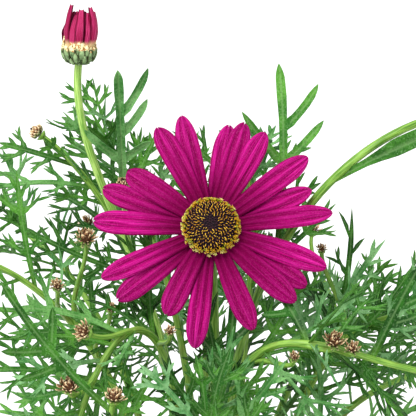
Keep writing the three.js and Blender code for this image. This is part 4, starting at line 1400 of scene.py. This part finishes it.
# Painted shade: dark lines along the two grooves.
grooves = abs(abs(across) - GROOVE_SPACING / 2) + threads.ramp(0.3, 0.7, 0.0, 0.1)
petal_finish.coat(grooves.ramp(0.03, 0.13, 0.75, 0.0), (90, 0, 44))
petal_finish.coat(threads.ramp(0.5, 0.38, 0.0, 0.45), (108, 0, 56))
petal_finish.coat(own * 0.6, (116, 0, 64))
# Painted glints: fine pale specks, stronger towards the end.
fine_specks = petal_finish.noise(2600, 2).ramp(0.5, 0.66, 0.0, 0.2)
petal_finish.coat(fine_specks * along, (240, 96, 178))
petal_finish.bump(threads + streaks, 0.0003, 0.6)
petal_finish.glow_through(0.12)
petal_finish.report()

# %% Build the petals
dice = random.Random(29)
heap = Heap()
for index, (turn, reach, layer) in enumerate(RAYS):
    upper, lower, u, v = petal(index, turn, reach, layer, dice)
    heap.add(*close_blade(upper, grid_faces(PETAL_ALONG, PETAL_ACROSS), lower),
             across=np.tile(u, 2), along=np.tile(v, 2), tone=dice.random())
collar = [(4.4, -0.9), (8.2, -0.9), (8.4, 2.2), (4.4, 2.2)]
heap.add(*lathe(collar, 48), across=0, along=0, tone=0.5)
rays_piece = placed(heap.made("ray_florets_fine", petal_finish.material), head_frame())
rays_piece.data.set_sharp_from_angle(angle=math.radians(50))
print("petals:", len(RAYS), "faces:", len(rays_piece.data.polygons))

# %% [markdown]
# ## Packed florets, scales and bud heads
# The disc of a daisy, its cup of green scales and its small buds all follow one rule: each
# part stands 137.5 degrees round from the one before. One Geometry Nodes tree does them
# all. It makes numbered points, turns every number into an angle, a radius, a height and a
# lean, and sets a small part on each point. Curves in the tree give the outline.


# %% Spiral tree
def spiral_tree(name, material, outline, lean, size):
    """Parts along a golden spiral; the curves are read by the share of the spiral."""
    nodes = NodeTree(name, Count=1, First=0, Total=1, Width=1.0 * MM, Height=1.0 * MM,
                     Crowding=0.5, Inward=0.0, Astray=0.0, Wild_lean=0.1, Wild_size=0.1, Seed=1)
    number = nodes.add("GeometryNodeInputIndex") + nodes["First"]
    share = (number / nodes["Total"]) ** nodes["Crowding"]
    radius = nodes.curve(share, outline[0]) * nodes["Width"]
    turn = number * GOLDEN_TURN
    astray = [nodes.random(-1.0, 1.0, seed) * nodes["Astray"] for seed in (21, 22)]
    place = nodes.vector(radius * nodes.math("COSINE", turn) + astray[0],
                         radius * nodes.math("SINE", turn) + astray[1],
                         nodes.curve(share, outline[1]) * nodes["Height"])
    points = nodes.add("GeometryNodePoints", {"Count": nodes["Count"], "Position": place})
    wild, aside = (nodes.random(-1.0, 1.0, seed) * nodes["Wild_lean"]
                   for seed in (nodes["Seed"], 31))
    tilt = nodes.curve(share, lean) * math.pi + wild - nodes["Inward"]
    vary = nodes.random(-1.0, 1.0, nodes["Seed"] + 7.0) * nodes["Wild_size"] + 1.0
    parts = nodes.add("GeometryNodeInstanceOnPoints", {
        "Points": points, "Instance": nodes["Geometry"],
        "Rotation": nodes.vector(aside, tilt, turn), "Scale": nodes.curve(share, size) * vary,
    })
    toned = nodes.store(parts, "tone", nodes.random(0.0, 1.0, 3), "INSTANCE")
    return nodes.finish(nodes.store(toned, "share", share, "INSTANCE"), material)


def closed_rings(rings, low, high):
    """A closed body from rings of (radius, height) per sector, with a pole at both ends."""
    sectors, last = len(rings[0]), len(rings) - 1
    body = [round_about(radius, k, sectors, height)
            for ring in rings for k, (radius, height) in enumerate(ring)]
    points = [(0, 0, low), *body, (0, 0, high)]
    ends = [(k, (k + 1) % sectors) for k in range(sectors)]
    faces = [(0, 1 + n, 1 + k) for k, n in ends]
    for base in range(1, 1 + last * sectors, sectors):
        faces += [(base + k, base + n, base + sectors + n, base + sectors + k) for k, n in ends]
    top = 1 + last * sectors
    faces += [(top + k, top + n, len(points) - 1) for k, n in ends]
    level = [j / last for j in range(last + 1) for _ in range(sectors)]
    return points, faces, [0.0, *level, 1.0]


# %% Round bodies from an outline
def even(profile, sectors):
    return [[point] * sectors for point in profile]


def turned_body(name, profile, sectors, low, high, material=None):
    """A plain round body from an outline, closed by a pole at both ends."""
    points, faces, _ = closed_rings(even(profile, sectors), low, high)
    return mesh_object(name, points, faces, material)


# %% [markdown]
# The middle of the disc is purple-black, where the florets are still shut. Further out,
# golden styles stand between them, and the ring at the edge is open: yellow-green tubes
# with pale lobes and painted shade inside their mouths. Each kind is a small turned body of
# its own, so each gets its own plain finish, shaded from foot to tip by the number `level`.

# %% Disc finishes
dark_finish = Finish("unopened florets", 0.5, 0.3)
dark_finish.ground(dark_finish.number("level").ramp(0.3, 1.0), (10, 1, 8), (66, 28, 46))

ground_finish = Finish("disc ground", 0.7, 0.2)
ground_finish.ground(ground_finish.noise(1500, 2).ramp(0.4, 0.7), (12, 2, 10), (44, 14, 24))

golden_finish = Finish("golden styles", 0.5, 0.2)
golden_finish.ground(golden_finish.number("tone").ramp(0.2, 0.9), (186, 130, 16), (236, 190, 56))

open_finish = Finish("open florets", 0.55, 0.15)
level, own, lobe, share = open_finish.numbers("level", "tone", "lobe", "share")
open_finish.ground(own.ramp(0.4, 0.7), (196, 146, 8), (124, 152, 16))
open_finish.coat(open_finish.noise(1100, 2).ramp(0.45, 0.6), (196, 158, 24))
# Painted shade inside the mouth of each open floret.
open_finish.coat(level.ramp(0.7, 0.9), (84, 54, 6))
rim = lobe * level.ramp(0.36, 0.52) * own.ramp(0.1, 0.8, 0.4, 1.0)
open_finish.coat(rim * share.ramp(0.91, 0.98, 0.15, 1.0), (244, 232, 150))
for paint in (dark_finish, ground_finish, golden_finish, open_finish):
    paint.report()

# %% Draw the three kinds of disc floret
STYLE = even([(0.14, 0.0), (0.17, 0.3), (0.15, 0.8), (0.09, 1.08)], 6)
BUD = even([(0.26, 0.0), (0.34, 0.35), (0.28, 0.62), (0.12, 0.78)], 6)
OPEN_PROFILE = [
    # radius, height, how far every second point stands out as a lobe
    (0.28, 0.0, 0), (0.42, 0.8, 0), (0.55, 1.15, 0.16), (0.62, 1.32, 0.34), (0.5, 1.3, 0.22),
    (0.34, 1.02, 0.04), (0.2, 0.86, 0),
]
OPEN = [[(radius + (-lobed * 0.4 if k % 2 else lobed), height) for k in range(10)]
        for radius, height, lobed in OPEN_PROFILE]


def part_object(name, rings, low, high):
    points, faces, level = closed_rings(rings, low, high)
    lobe = [0.25 if k % 2 else 1.0 for ring in rings for k in range(len(ring))]
    return mesh_object(name, points, faces, None, {"level": level, "lobe": [0.0, *lobe, 0.0]})


# %% Fill the disc
DISC_BASE = 3.4
DISC_HEIGHT = 6.0
GROUND_HEIGHT = DISC_HEIGHT - 0.7
DOME = [(0.0, 1.0), (0.24, 0.985), (0.42, 0.95), (0.58, 0.88), (0.73, 0.77), (0.86, 0.6),
        (0.95, 0.4), (1.0, 0.16)]
DOME_LEAN = [(0.0, 0.0), (0.3, 0.06), (0.6, 0.2), (0.86, 0.33), (1.0, 0.42)]
ground_profile = [(8.1 * r, DISC_BASE + GROUND_HEIGHT * h) for r, h in DOME[:0:-1]]
disc_ground = turned_body("disc_ground", [(7.6, DISC_BASE), *ground_profile], 40, DISC_BASE,
                          DISC_BASE + GROUND_HEIGHT, ground_finish.material)


def disc_parts(name, part, finish, span, total, lean, size, width, lift, **wild):
    """One kind of floret, from the first to the last number of the disc's spiral."""
    tree = spiral_tree(name, finish.material, ([(0, 0), (1, 1)], DOME), lean, size)
    made = tree.run(part_object("part", part[0], 0, part[1]), name, Count=span[1] - span[0],
                    First=span[0], Total=total, Width=width * MM, Height=DISC_HEIGHT * MM, **wild)
    print(name, len(made.data.polygons))
    return placed(made, Matrix.Translation((0, 0, (DISC_BASE + lift) * MM)), head_frame())


disc_pieces = [
    placed(disc_ground, head_frame()),
    disc_parts("disc_buds", (BUD, 0.84), dark_finish, (0, 262), 330, DOME_LEAN,
               [(0, 0.56), (0.3, 0.72), (1, 0.86)], 8.2, -0.5, Seed=3),
    disc_parts("disc_styles", (STYLE, 1.16), golden_finish, (20, 262), 304,
               [(0, 0.16), (0.4, 0.3), (0.7, 0.38), (1, 0.45)], [(0, 0.7), (1, 0.74)],
               8.3, -0.1, Wild_lean=0.6, Wild_size=0.25, Astray=0.14 * MM, Seed=11),
    disc_parts("disc_open", (OPEN, 0.95), open_finish, (318, 420), 420,
               [(0, 0.2), (0.8, 0.24), (1, 0.44)], [(0, 0.7), (1, 0.76)], 8.6, -0.6,
               Wild_lean=0.3, Wild_size=0.25, Seed=5),
]

# %% [markdown]
# ## Green scales and the opening buds
# Under every flower head sits a cup of overlapping green scales. One scale is a small
# boat-shaped blade; the spiral tree lays it in rows from the stalk up to the rim. Scales
# near the rim end in dry, cream-coloured paper.

# %% Scale finish
scale_finish = Finish("green scales", 0.6, 0.25)
up, share, side, own = scale_finish.numbers("up", "share", "side", "tone")
flecks = scale_finish.noise(1300, 2)
depth = own * 0.4 + scale_finish.noise(500, 3).ramp(0.35, 0.65, 0.0, 0.6)
scale_finish.ground(depth, (36, 72, 26), (160, 190, 134))
scale_finish.coat(side.ramp(0.5, 0.95, 0.0, 0.85), (54, 58, 22))
papery = scale_finish.mix(flecks.ramp(0.48, 0.62), (252, 240, 186), (176, 124, 66))
edge = up + share * 1.3 + flecks.ramp(0.35, 0.65, -0.1, 0.1)
scale_finish.coat(edge.ramp(1.66, 1.84), papery)
scale_finish.bump(flecks, 0.0002)
scale_finish.report()


# %% One scale
def scale_part(name, length, width, thick, hollow):
    """A pointed boat: base at the origin, tip up +Z, its round back towards +X."""
    rows, columns = 6, 5
    v, u = grid(rows, columns)
    half = np.interp(v, [0, 0.3, 0.6, 0.85, 1], [0.62, 0.95, 1.0, 0.62, 0.2]) * width / 2
    back = hollow * (1 - u**2) + 0.25 * np.sin(v * math.pi)
    upper = listed(back, half * u, v * length)
    points, faces = close_blade(upper, flipped(grid_faces(rows, columns)), upper - [thick, 0, 0])
    numbers = {"up": np.tile(v.ravel(), 2), "side": np.tile(np.abs(u).ravel(), 2)}
    return mesh_object(name, points, faces, None, numbers)


def flipped(faces):
    return [(a, c, b) for a, b, c in faces]


# %% A cup of scales
CUP_OUTLINE = ([(0, 0.2), (0.2, 0.52), (0.45, 0.84), (0.7, 0.98), (1, 1.0)],
               [(0, 0.0), (0.2, 0.05), (0.45, 0.2), (0.7, 0.42), (1, 0.68)])
CUP_LEAN = [(0, 0.75), (0.25, 0.56), (0.5, 0.42), (0.75, 0.34), (1, 0.3)]
CUP_SCALES = [(0, 0.72), (0.4, 0.9), (0.75, 1.1), (1, 1.3)]
CUP_BODY = [(0.24, 0), (0.62, 0.1), (0.88, 0.4), (0.93, 0.8), (0.86, 1)]


def scale_cup(name, radius, height, count, length, place, rim_lift, fringe=0):
    """A cup of scales whose rim stands at rim_lift; the fringe is a ring of dry tips."""
    tree = spiral_tree(name, scale_finish.material, CUP_OUTLINE, CUP_LEAN, CUP_SCALES)
    shape = dict(Width=radius * MM, Height=height * MM, Crowding=0.8)
    part = scale_part("part", length, length * 0.56, 0.3, 0.35)
    things = [tree.run(part, name, Count=count, Total=count, Inward=0.98, Wild_lean=0.06,
                       Wild_size=0.08, Seed=9, **shape)]
    if fringe:
        tip = scale_part("tip", length * 1.15, length * 0.3, 0.16, 0.15)
        things.append(tree.run(tip, "fringe", Count=fringe, First=count, Total=count, Inward=0.95,
                               Astray=0.25 * MM, Wild_lean=0.16, Wild_size=0.26, Seed=5, **shape))
    profile = [(radius * r, height * h) for r, h in CUP_BODY]
    things.append(turned_body("body", profile, 28, 0, height, scale_finish.material))
    return placed(join(name, things),
                  Matrix.Translation((0, 0, (rim_lift - height) * MM)), place)


head_place = Vector(BLOOM_CENTRE - 4.5 * BLOOM_AXIS)
bloom_cup = scale_cup("bloom_cup", 8.0, 6.5, 46, 4.4, standing(head_place, BLOOM_AXIS), -1.25)
print("bloom cup faces:", len(bloom_cup.data.polygons))

# %% [markdown]
# The outside of a young floret is pink, with painted shade on its edges where it meets its
# neighbours, and cream where it leaves its cup. The same two measures as on the petals serve
# again, and one more number lays painted shade on the florets that stand inside.

# %% Bud petal finish
bud_finish = Finish("pink bud petals", 0.5, 0.05)
across, along, own, inner_shade = bud_finish.numbers("across", "along", "tone", "inner_shade")
sheet = bud_finish.vector(across + own * 31.0, along)
streaks = bud_finish.noise(1.0, 3, sheet, (9, 1.5, 1))
bud_finish.ground(streaks.ramp(0.36, 0.72), (142, 0, 52), (244, 84, 150))
bud_finish.coat(own.ramp(0.55, 1.0, 0.0, 0.5), (116, 0, 44))
# Painted shade on the edges of each floret, where it meets its neighbours.
bud_finish.coat(across.ramp(0.5, 1.0, 0.0, 0.9), (84, 0, 26))
# Painted shade on the inner florets and the core.
bud_finish.coat(inner_shade, (66, 0, 20))
bud_finish.coat(along.ramp(0.24, 0.06, 0.0, 0.95), (236, 206, 150))
bud_finish.bump(streaks, 0.0003)
bud_finish.glow_through(0.15)
bud_finish.report()

# %% [markdown]
# The florets of an opening bud stand upright, edge to edge, like staves of a barrel. Each
# is a narrow strap, folded along its middle, that leans in at the top and ends raggedly.
# Two rings of shorter florets and a plain core fill the inside, darkened with painted
# shade. Straps on a ring of angles are plain to write as grids, so no tree is needed here.


# %% One upright floret
STRAP_ROWS, STRAP_COLUMNS = 14, 5
# How high the outer florets reach, from the front left round the front and the back.
OUTER_TIPS = [1.08, 0.88, 0.98, 0.9, 1.02, 0.9, 0.74, 0.8, 0.84, 0.8, 0.82, 0.76, 0.74, 0.86]
BUD_RINGS = [
    # foot, belly and top radius, florets' width, how much painted shade, heights
    (5.1, 6.2, 4.2, 2.9, 0.0, OUTER_TIPS),
    (3.9, 4.8, 3.4, 2.5, 0.7, [0.84] * 11),
    (2.4, 3.0, 1.8, 2.2, 1.0, [0.74] * 7),
]
STRAP_THICKNESS = 0.34
BUD_CORE = [(3.0, 0.0), (3.6, 2.0), (3.0, 6.0), (1.8, 7.4)]
CUP_RIM = 4.6


def bud_strap(angle, radii, height, width, fold, blunt):
    """Both skins of one upright floret, with its shares across and along."""
    v, u = grid(STRAP_ROWS, STRAP_COLUMNS)
    foot, belly, top = radii
    radius = np.interp(v, [0, 0.25, 0.5, 0.75, 1],
                       [foot, mix(foot, belly, 0.75), belly, mix(belly, top, 0.35), top])
    half = np.interp(v, [0, 0.3, 0.6, 0.85, 1],
                     [0.42, 0.5, 0.5, mix(0.32, 0.46, blunt), mix(0.05, 0.34, blunt)]) * width
    radius = radius - fold * (1 - np.abs(u)) * 0.5 - 0.25 * np.abs(u) ** 3
    lean = angle + half * u / np.maximum(radius, 0.8)
    rise = v * height - 0.35 * blunt * (1 - np.abs(u)) * v**8
    skins = [listed(reach * np.cos(lean) + BUD_LEAN * rise, reach * np.sin(lean), rise)
             for reach in (radius, radius - STRAP_THICKNESS)]
    return skins, np.abs(u).ravel(), v.ravel()


# %% Two opening buds
def opening_bud(name, place, seed):
    dice = random.Random(seed)
    heap = Heap()
    skin = flipped(grid_faces(STRAP_ROWS, STRAP_COLUMNS))
    for foot, belly, top, width, inner_shade, tips in BUD_RINGS:
        for k, tip in enumerate(tips):
            angle = math.pi + 2 * math.pi * (k + 1.7 + dice.uniform(-0.2, 0.2)) / len(tips)
            high = BUD_PETAL_HEIGHT * tip * dice.uniform(0.95, 1.0)
            under = 0.5 * (k % 2)
            radii = (foot - under * 0.5, belly - under + dice.uniform(-0.2, 0.15),
                     top - under + dice.uniform(-0.7, 0.7))
            blunt = 0.9 if k == 0 else dice.random() ** 3
            (upper, lower), u, v = bud_strap(angle, radii, high, width * dice.uniform(0.8, 1.1),
                                             dice.uniform(-0.7, 0.9), blunt)
            heap.add(*close_blade(upper, skin, lower), across=np.tile(u, 2),
                     along=np.tile(v, 2), tone=dice.random(), inner_shade=inner_shade)
    points, faces, _ = closed_rings(even(BUD_CORE, 20), 0, 7.8)
    heap.add(points, faces, across=1, along=0.7, tone=0.5, inner_shade=1.0)
    return placed(heap.made(name, bud_finish.material), place)


stalk_cups = {}
bud_pieces = {}
for stalk, aims in OPENING_BUDS.items():
    foot = bezier(SHOOTS[stalk]["path"], 1)
    axis = unit(aims)
    stalk_cups[stalk] = scale_cup(f"{stalk}_cup", 5.2, 5.5, 34, 3.6, standing(foot, axis),
                                  CUP_RIM, fringe=60)
    place = standing(foot + (CUP_RIM + CLEARANCE) * axis, axis)
    name = stalk.replace("stalk", "petals")
    bud_pieces[name] = opening_bud(f"{name}_fine", place, len(stalk))
    print(name, "florets:", sum(len(ring[-1]) for ring in BUD_RINGS))

# %% [markdown]
# A young bud is a ball of scales that close over its top: green ones below, cream and
# brown paper above, and a dark eye where they meet. Older ones lower down are ruffled. All
# sixteen come from the same tree, turned and sized a little differently.

# %% Small bud finish
small_finish = Finish("small bud scales", 0.7, 0.15)
share, up, side, closed = small_finish.numbers("share", "up", "side", "closed")
flecks = small_finish.noise(1500, 3)
brown = small_finish.mix(flecks.ramp(0.4, 0.62), (182, 130, 86), (122, 76, 48))
small_finish.ground(flecks.ramp(0.4, 0.6), (66, 100, 42), (112, 134, 72))
small_finish.coat(share.ramp(0.22, 0.5), brown)
papery = up.ramp(0.6, 0.9) + side.ramp(0.55, 1.0, 0.0, 0.6)
small_finish.coat(papery * share.ramp(0.1, 0.4, 0.3, 0.95), (240, 216, 172))
small_finish.coat(up.ramp(0.5, 0.0, 0.0, 0.85), (66, 40, 26))
small_finish.coat(share.ramp(0.86, 0.94) * closed, (44, 26, 16))
small_finish.bump(flecks, 0.0002)
small_finish.report()

# %% Small bud heads
BALL = ([(0, 0.5), (0.2, 0.84), (0.45, 0.98), (0.7, 0.84), (0.88, 0.5), (1, 0.1)],
        [(0, 0.06), (0.2, 0.14), (0.45, 0.34), (0.7, 0.58), (0.88, 0.74), (1, 0.8)])
BALL_LEAN = [(0, 0.62), (0.25, 0.5), (0.5, 0.4), (0.7, 0.3), (0.88, 0.2), (1, 0.08)]
BALL_BODY = [(0.9, 0.0), (1.5, 0.5), (1.7, 1.3), (1.4, 2.1), (0.8, 2.6)]
BALL_CUP = [(0.9, 0.0), (1.6, 0.6), (2.1, 1.3), (2.0, 1.5)]
CLOSED_ABOVE = 205  # buds that stand higher than this are young and closed
# scales, the length and width of one, how wild they lie, how far they lean in
CLOSED_BUD = (56, 1.7, 0.86, 0.08, 0.8)
RUFFLED_BUD = (44, 2.0, 0.66, 0.46, 0.5)


def small_bud(name, seed, closed):
    """A ball of scales: pressed together in a closed bud, ruffled in an older one."""
    count, length, width, wild, inward = CLOSED_BUD if closed else RUFFLED_BUD
    tree = spiral_tree(name, small_finish.material, BALL, BALL_LEAN, [(0, 1.0), (1, 0.8)])
    part = scale_part("part", length, width, 0.12, 0.12)
    scales = tree.run(part, name, Count=count, Total=count, Width=1.85 * MM, Height=3.0 * MM,
                      Crowding=0.8, Inward=inward, Wild_lean=wild, Wild_size=0.35, Seed=seed)
    points, faces, _ = closed_rings(even(BALL_BODY, 12), -0.1, 2.8)
    body = mesh_object("body", points, faces, small_finish.material,
                       {"share": np.interp([p[2] for p in points], [0, 3], [0.2, 0.95])})
    made = join(name, [scales, body])
    state = made.data.attributes.new("closed", "FLOAT", "POINT")
    state.data.foreach_set("value", [float(closed)] * len(made.data.vertices))
    return made


small_pieces = []
for index, (name, owner, place, axis, size) in enumerate(small_buds):
    scale = Matrix.Scale(size, 4)
    bud = small_bud(f"{name}_fine", index + 1, closed=place[2] > CLOSED_ABOVE)
    placed(bud, scale, standing(place + (0.6 + CLEARANCE) * axis, axis))
    small_pieces.append(bud)
    cup = turned_body(f"{name}_cup", BALL_CUP, 12, -0.1, 1.45, leafy_stem)
    placed(cup, scale, standing(place - 0.7 * axis, axis))
    SHOOTS[owner].setdefault("cups", []).append(cup)
print("small buds:", len(small_pieces), "faces each:", len(small_pieces[0].data.polygons))

# %% [markdown]
# ## Pot and compost
# The pot is turned on a wheel: one outline swept round its axis, with soft edges at the
# rim and the foot. Fired clay has a dry, slightly speckled skin with paler bloom where
# water has dried. The compost is a bumpy disc with crumbs and grit scattered over it.

# %% Clay finish
clay_finish = Finish("fired clay", 0.85, 0.2)
clouds, fine_specks = clay_finish.noise(26, 5), clay_finish.noise(900, 3)
rings = clay_finish.noise(60, 2, stretch=(0.05, 0.05, 6))
clay_finish.ground(clouds.ramp(0.3, 0.7), (176, 96, 62), (206, 130, 92))
clay_finish.coat(rings.ramp(0.45, 0.75, 0.0, 0.35), (222, 160, 124))
clay_finish.coat(fine_specks.ramp(0.6, 0.8, 0.0, 0.5), (120, 62, 42))
clay_finish.bump(fine_specks + rings, 0.0003)
clay_finish.report()


# %% Turn the pot
def wall_inside(height):
    """The radius of the pot's inside at a height."""
    share = (height - POT_FLOOR) / (POT_HEIGHT - POT_FLOOR)
    return mix(POT_BASE_RADIUS - POT_WALL, POT_RIM_RADIUS - POT_WALL - 0.5, share)


def arc(centre, radius, start, end, steps):
    """Points of a rounded corner in the outline, angles in degrees."""
    angles = np.radians(np.linspace(start, end, steps))
    return [(centre[0] + radius * math.cos(a), centre[1] + radius * math.sin(a)) for a in angles]


POT_SECTORS = 128
collar_foot = POT_HEIGHT - COLLAR_HEIGHT
under_collar = POT_RIM_RADIUS - 5.5
outline = [
    *arc((POT_BASE_RADIUS - 1.6, 1.6), 1.6, -90, -10, 5),
    (mix(POT_BASE_RADIUS, under_collar, 0.5), collar_foot / 2),
    (under_collar, collar_foot - 1.2), (POT_RIM_RADIUS - 5.1, collar_foot - 0.2),
    *arc((POT_RIM_RADIUS - 3.2, collar_foot + 1.6), 1.6, -90, -10, 5),
    (POT_RIM_RADIUS - 0.9, mix(collar_foot, POT_HEIGHT, 0.5)),
    *arc((POT_RIM_RADIUS - 1.9, POT_HEIGHT - 1.8), 1.8, 0, 90, 6),
    *arc((wall_inside(POT_HEIGHT) + 1.8, POT_HEIGHT - 1.8), 1.8, 90, 178, 6),
    (wall_inside(POT_HEIGHT / 2), POT_HEIGHT / 2),
    (wall_inside(POT_FLOOR + 2) - 0.1, POT_FLOOR + 2), (wall_inside(POT_FLOOR) - 2, POT_FLOOR),
]
points, faces = lathe(outline, POT_SECTORS, closed=False)
corners = range(0, len(points), len(outline))
faces += [tuple(corners[::-1]), tuple(k + len(outline) - 1 for k in corners)]
pot = mesh_object("pot_fine", points, faces, clay_finish.material)

# %% Drill the drainage holes
DRILL_OVER = 3  # how far a drill reaches past both sides of the floor
drills = []
for i in range(3):
    lean = math.radians(120 * i + 90)
    low, high = -DRILL_OVER, POT_FLOOR + DRILL_OVER
    drill = turned_body(f"drill_{i}", [(DRAIN_RADIUS, low), (DRAIN_RADIUS, high)], 32, low, high)
    placed(drill, Matrix.Translation(
        (DRAIN_CIRCLE * MM * math.cos(lean), DRAIN_CIRCLE * MM * math.sin(lean), 0)))
    cut = pot.modifiers.new("drain", "BOOLEAN")
    cut.object, cut.operation, cut.solver = drill, "DIFFERENCE", "EXACT"
    drills.append(drill)
turned = baked(pot)
pot.modifiers.clear()
pot.data = turned
for drill in drills:
    bpy.data.objects.remove(drill)
pot.data.set_sharp_from_angle(angle=math.radians(40))
print("pot faces after drilling:", len(pot.data.polygons))

# %% Compost finish
soil_finish = Finish("compost", 0.95, 0.15)
tone = soil_finish.number("tone")
soil_finish.ground(soil_finish.noise(240, 5).ramp(0.35, 0.65), (30, 20, 14), (74, 52, 36))
soil_finish.coat(tone.ramp(0.5, 1.0, 0.0, 0.6), (110, 78, 52))
soil_finish.coat(tone.ramp(0.955, 0.97), (226, 220, 206))
soil_finish.bump(soil_finish.noise(700, 4), 0.001, 0.8)
soil_finish.report()

# %% Surface of the compost
SOIL_RINGS = 44
SOIL_SECTORS = 128
SOIL_SWELL = 1.2  # how much the middle stands above the edge
edge = wall_inside(COMPOST_TOP) - 2 * CLEARANCE
foot = POT_FLOOR + CLEARANCE


def soil_ring(i):
    """One ring of the surface; the outermost one lies flat against the pot."""
    share = i / SOIL_RINGS
    radius, swell = edge * (1 - share), SOIL_SWELL * math.sin(share * 1.5)
    ring = []
    for k in range(SOIL_SECTORS):
        at = Vector(round_about(radius, k, SOIL_SECTORS, 3))
        bump = noise.noise(at * 0.16) * 1.1 + noise.noise(at * 0.6) * 0.5
        ring.append((radius, COMPOST_TOP + swell + bump * min(1, i / 2)))
    return ring


soil_rings = [[(wall_inside(foot) - 2 * CLEARANCE, foot)] * SOIL_SECTORS]
soil_rings += [soil_ring(i) for i in range(SOIL_RINGS)]
points, faces, _ = closed_rings(soil_rings, foot, COMPOST_TOP + SOIL_SWELL)
compost = mesh_object("compost_body", points, faces, soil_finish.material,
                      {"tone": [0.0] * len(points)})


# %% Crumbs
def crumb_tree(material):
    """Crumbs scattered over the upward faces of a surface."""
    nodes = NodeTree("crumbs", Density=140000.0, Least=0.4, Largest=1.2, Seed=4)
    upward = nodes.add("ShaderNodeSeparateXYZ", {0: nodes.add("GeometryNodeInputNormal")}, 2)
    top = nodes.add("FunctionNodeCompare", {0: upward, 1: 0.6},
                    data_type="FLOAT", operation="GREATER_THAN")
    spots = nodes.add("GeometryNodeDistributePointsOnFaces", {
        "Mesh": nodes["Geometry"], "Selection": top, "Density": nodes["Density"],
        "Seed": nodes["Seed"],
    })
    crumb = nodes.add("GeometryNodeMeshIcoSphere", {"Radius": 1.0 * MM, "Subdivisions": 1})
    squash = nodes.add("FunctionNodeRandomValue", {0: (0.5, 0.5, 0.35), 1: (1.0, 1.0, 0.8)},
                       data_type="FLOAT_VECTOR")
    turn = nodes.add("FunctionNodeRandomValue", {0: (0, 0, 0), 1: (6.28, 6.28, 6.28), "Seed": 2},
                     data_type="FLOAT_VECTOR")
    large = nodes.random(nodes["Least"], nodes["Largest"], 6)
    sizes = nodes.add("ShaderNodeVectorMath", {0: squash, 3: large}, operation="SCALE")
    crumbs = nodes.add("GeometryNodeInstanceOnPoints", {
        "Points": spots, "Instance": crumb, "Rotation": turn, "Scale": sizes,
    })
    return nodes.finish(nodes.store(crumbs, "tone", nodes.random(0.0, 1.0, 3), "INSTANCE"),
                        material)


ground = in_scene("ground", compost.data.copy())
crumbs = crumb_tree(soil_finish.material).run(ground, "crumbs")
print("crumb faces:", len(crumbs.data.polygons))
compost = join("compost_fine", [compost, crumbs])

# %% [markdown]
# ## Handing the pieces over
# Every piece is noted with the slot of the material list that its finish belongs to and the
# solids that it stands for. Its faces are turned outwards, then it moves with the root body
# and those solids are hidden.

# %% Note each piece, ride, hide its solids
keep(pot, "clay", "pot")
keep(compost, "compost", "compost")
keep(rays_piece, "magenta_petal", "ray_florets")
for thing in disc_pieces:
    keep(thing, "disc_gold", "disc_florets")
for name, shoot in SHOOTS.items():
    bodies = [shoot["stem_piece"], *shoot.get("cups", [])]
    stem = join(f"{name}_stem", bodies) if len(bodies) > 1 else bodies[0]
    keep(stem, "stem_green" if name.endswith("stalk") else "leaf_green", name)
    if "leaf_piece" in shoot:
        keep(shoot["leaf_piece"], "leaf_green", name)
keep(bloom_cup, "stem_green", "bloom_stalk")
for stalk, cup in stalk_cups.items():
    keep(cup, "stem_green", stalk)
for name, piece in bud_pieces.items():
    keep(piece, "bud_pink", name)
for (name, *_), piece in zip(small_buds, small_pieces):
    keep(piece, "scale_brown", name)

total = 0
for piece, slot, nodes in pieces:
    mesh = bmesh.new()
    mesh.from_mesh(piece.data)
    bmesh.ops.recalc_face_normals(mesh, faces=mesh.faces)
    total += sum(len(face.verts) - 2 for face in mesh.faces)
    mesh.to_mesh(piece.data)
    mesh.free()
    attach(piece, "root")
    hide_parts(*nodes)
print("pieces:", len(pieces), "triangles:", total)

# %% [markdown]
# ## Studio
# The plant stands on a wide, near-white sheet in soft light. The camera looks down twelve
# degrees at the bloom through a long lens, so that the frame is filled by flower and leaf.


# %% Floor, light and camera
SKY_STRENGTH = 0.8
KEY_STRENGTH = 3.2
KEY_SOFTNESS = 40  # degrees that the lamp spans, seen from the plant
KEY_FROM = (-0.45, -0.7, 1)
FLOOR_HALF = 4000
CAMERA_PLACE = (0.0001, -0.6866, 0.3458)
CAMERA_DOWN = 12  # degrees that the camera looks down
floor_finish = Finish("studio floor", 0.9, 0.5)
floor_finish.fill(floor_finish.shader, {"Base Color": (0.86, 0.86, 0.86)})
corners = [(x * FLOOR_HALF, y * FLOOR_HALF, 0) for x, y in [(-1, -1), (1, -1), (1, 1), (-1, 1)]]
floor = mesh_object("floor", corners, [(0, 1, 2, 3)], floor_finish.material)
world = bpy.data.worlds.new("studio")
bpy.context.scene.world = world
world.use_nodes = True
sky = world.node_tree.nodes["Background"].inputs
sky["Color"].default_value = (1, 1, 1, 1)
sky["Strength"].default_value = SKY_STRENGTH
lamp = bpy.data.lights.new("key", "SUN")
lamp.energy = KEY_STRENGTH
lamp.angle = math.radians(KEY_SOFTNESS)
key = in_scene("key", lamp)
key.rotation_euler = Vector(KEY_FROM).to_track_quat("Z", "Y").to_euler()

camera = in_scene("camera", bpy.data.cameras.new("camera"))
camera.location = CAMERA_PLACE
camera.rotation_euler = (math.radians(90 - CAMERA_DOWN), 0, 0)
camera.data.sensor_width = 36
camera.data.lens = 180
bpy.context.scene.camera = camera
bpy.context.scene.view_settings.view_transform = "Standard"
print("camera at", CAMERA_PLACE, "looks down", CAMERA_DOWN, "degrees")

# %% The CAD box
print("CAD box:", cad_box)
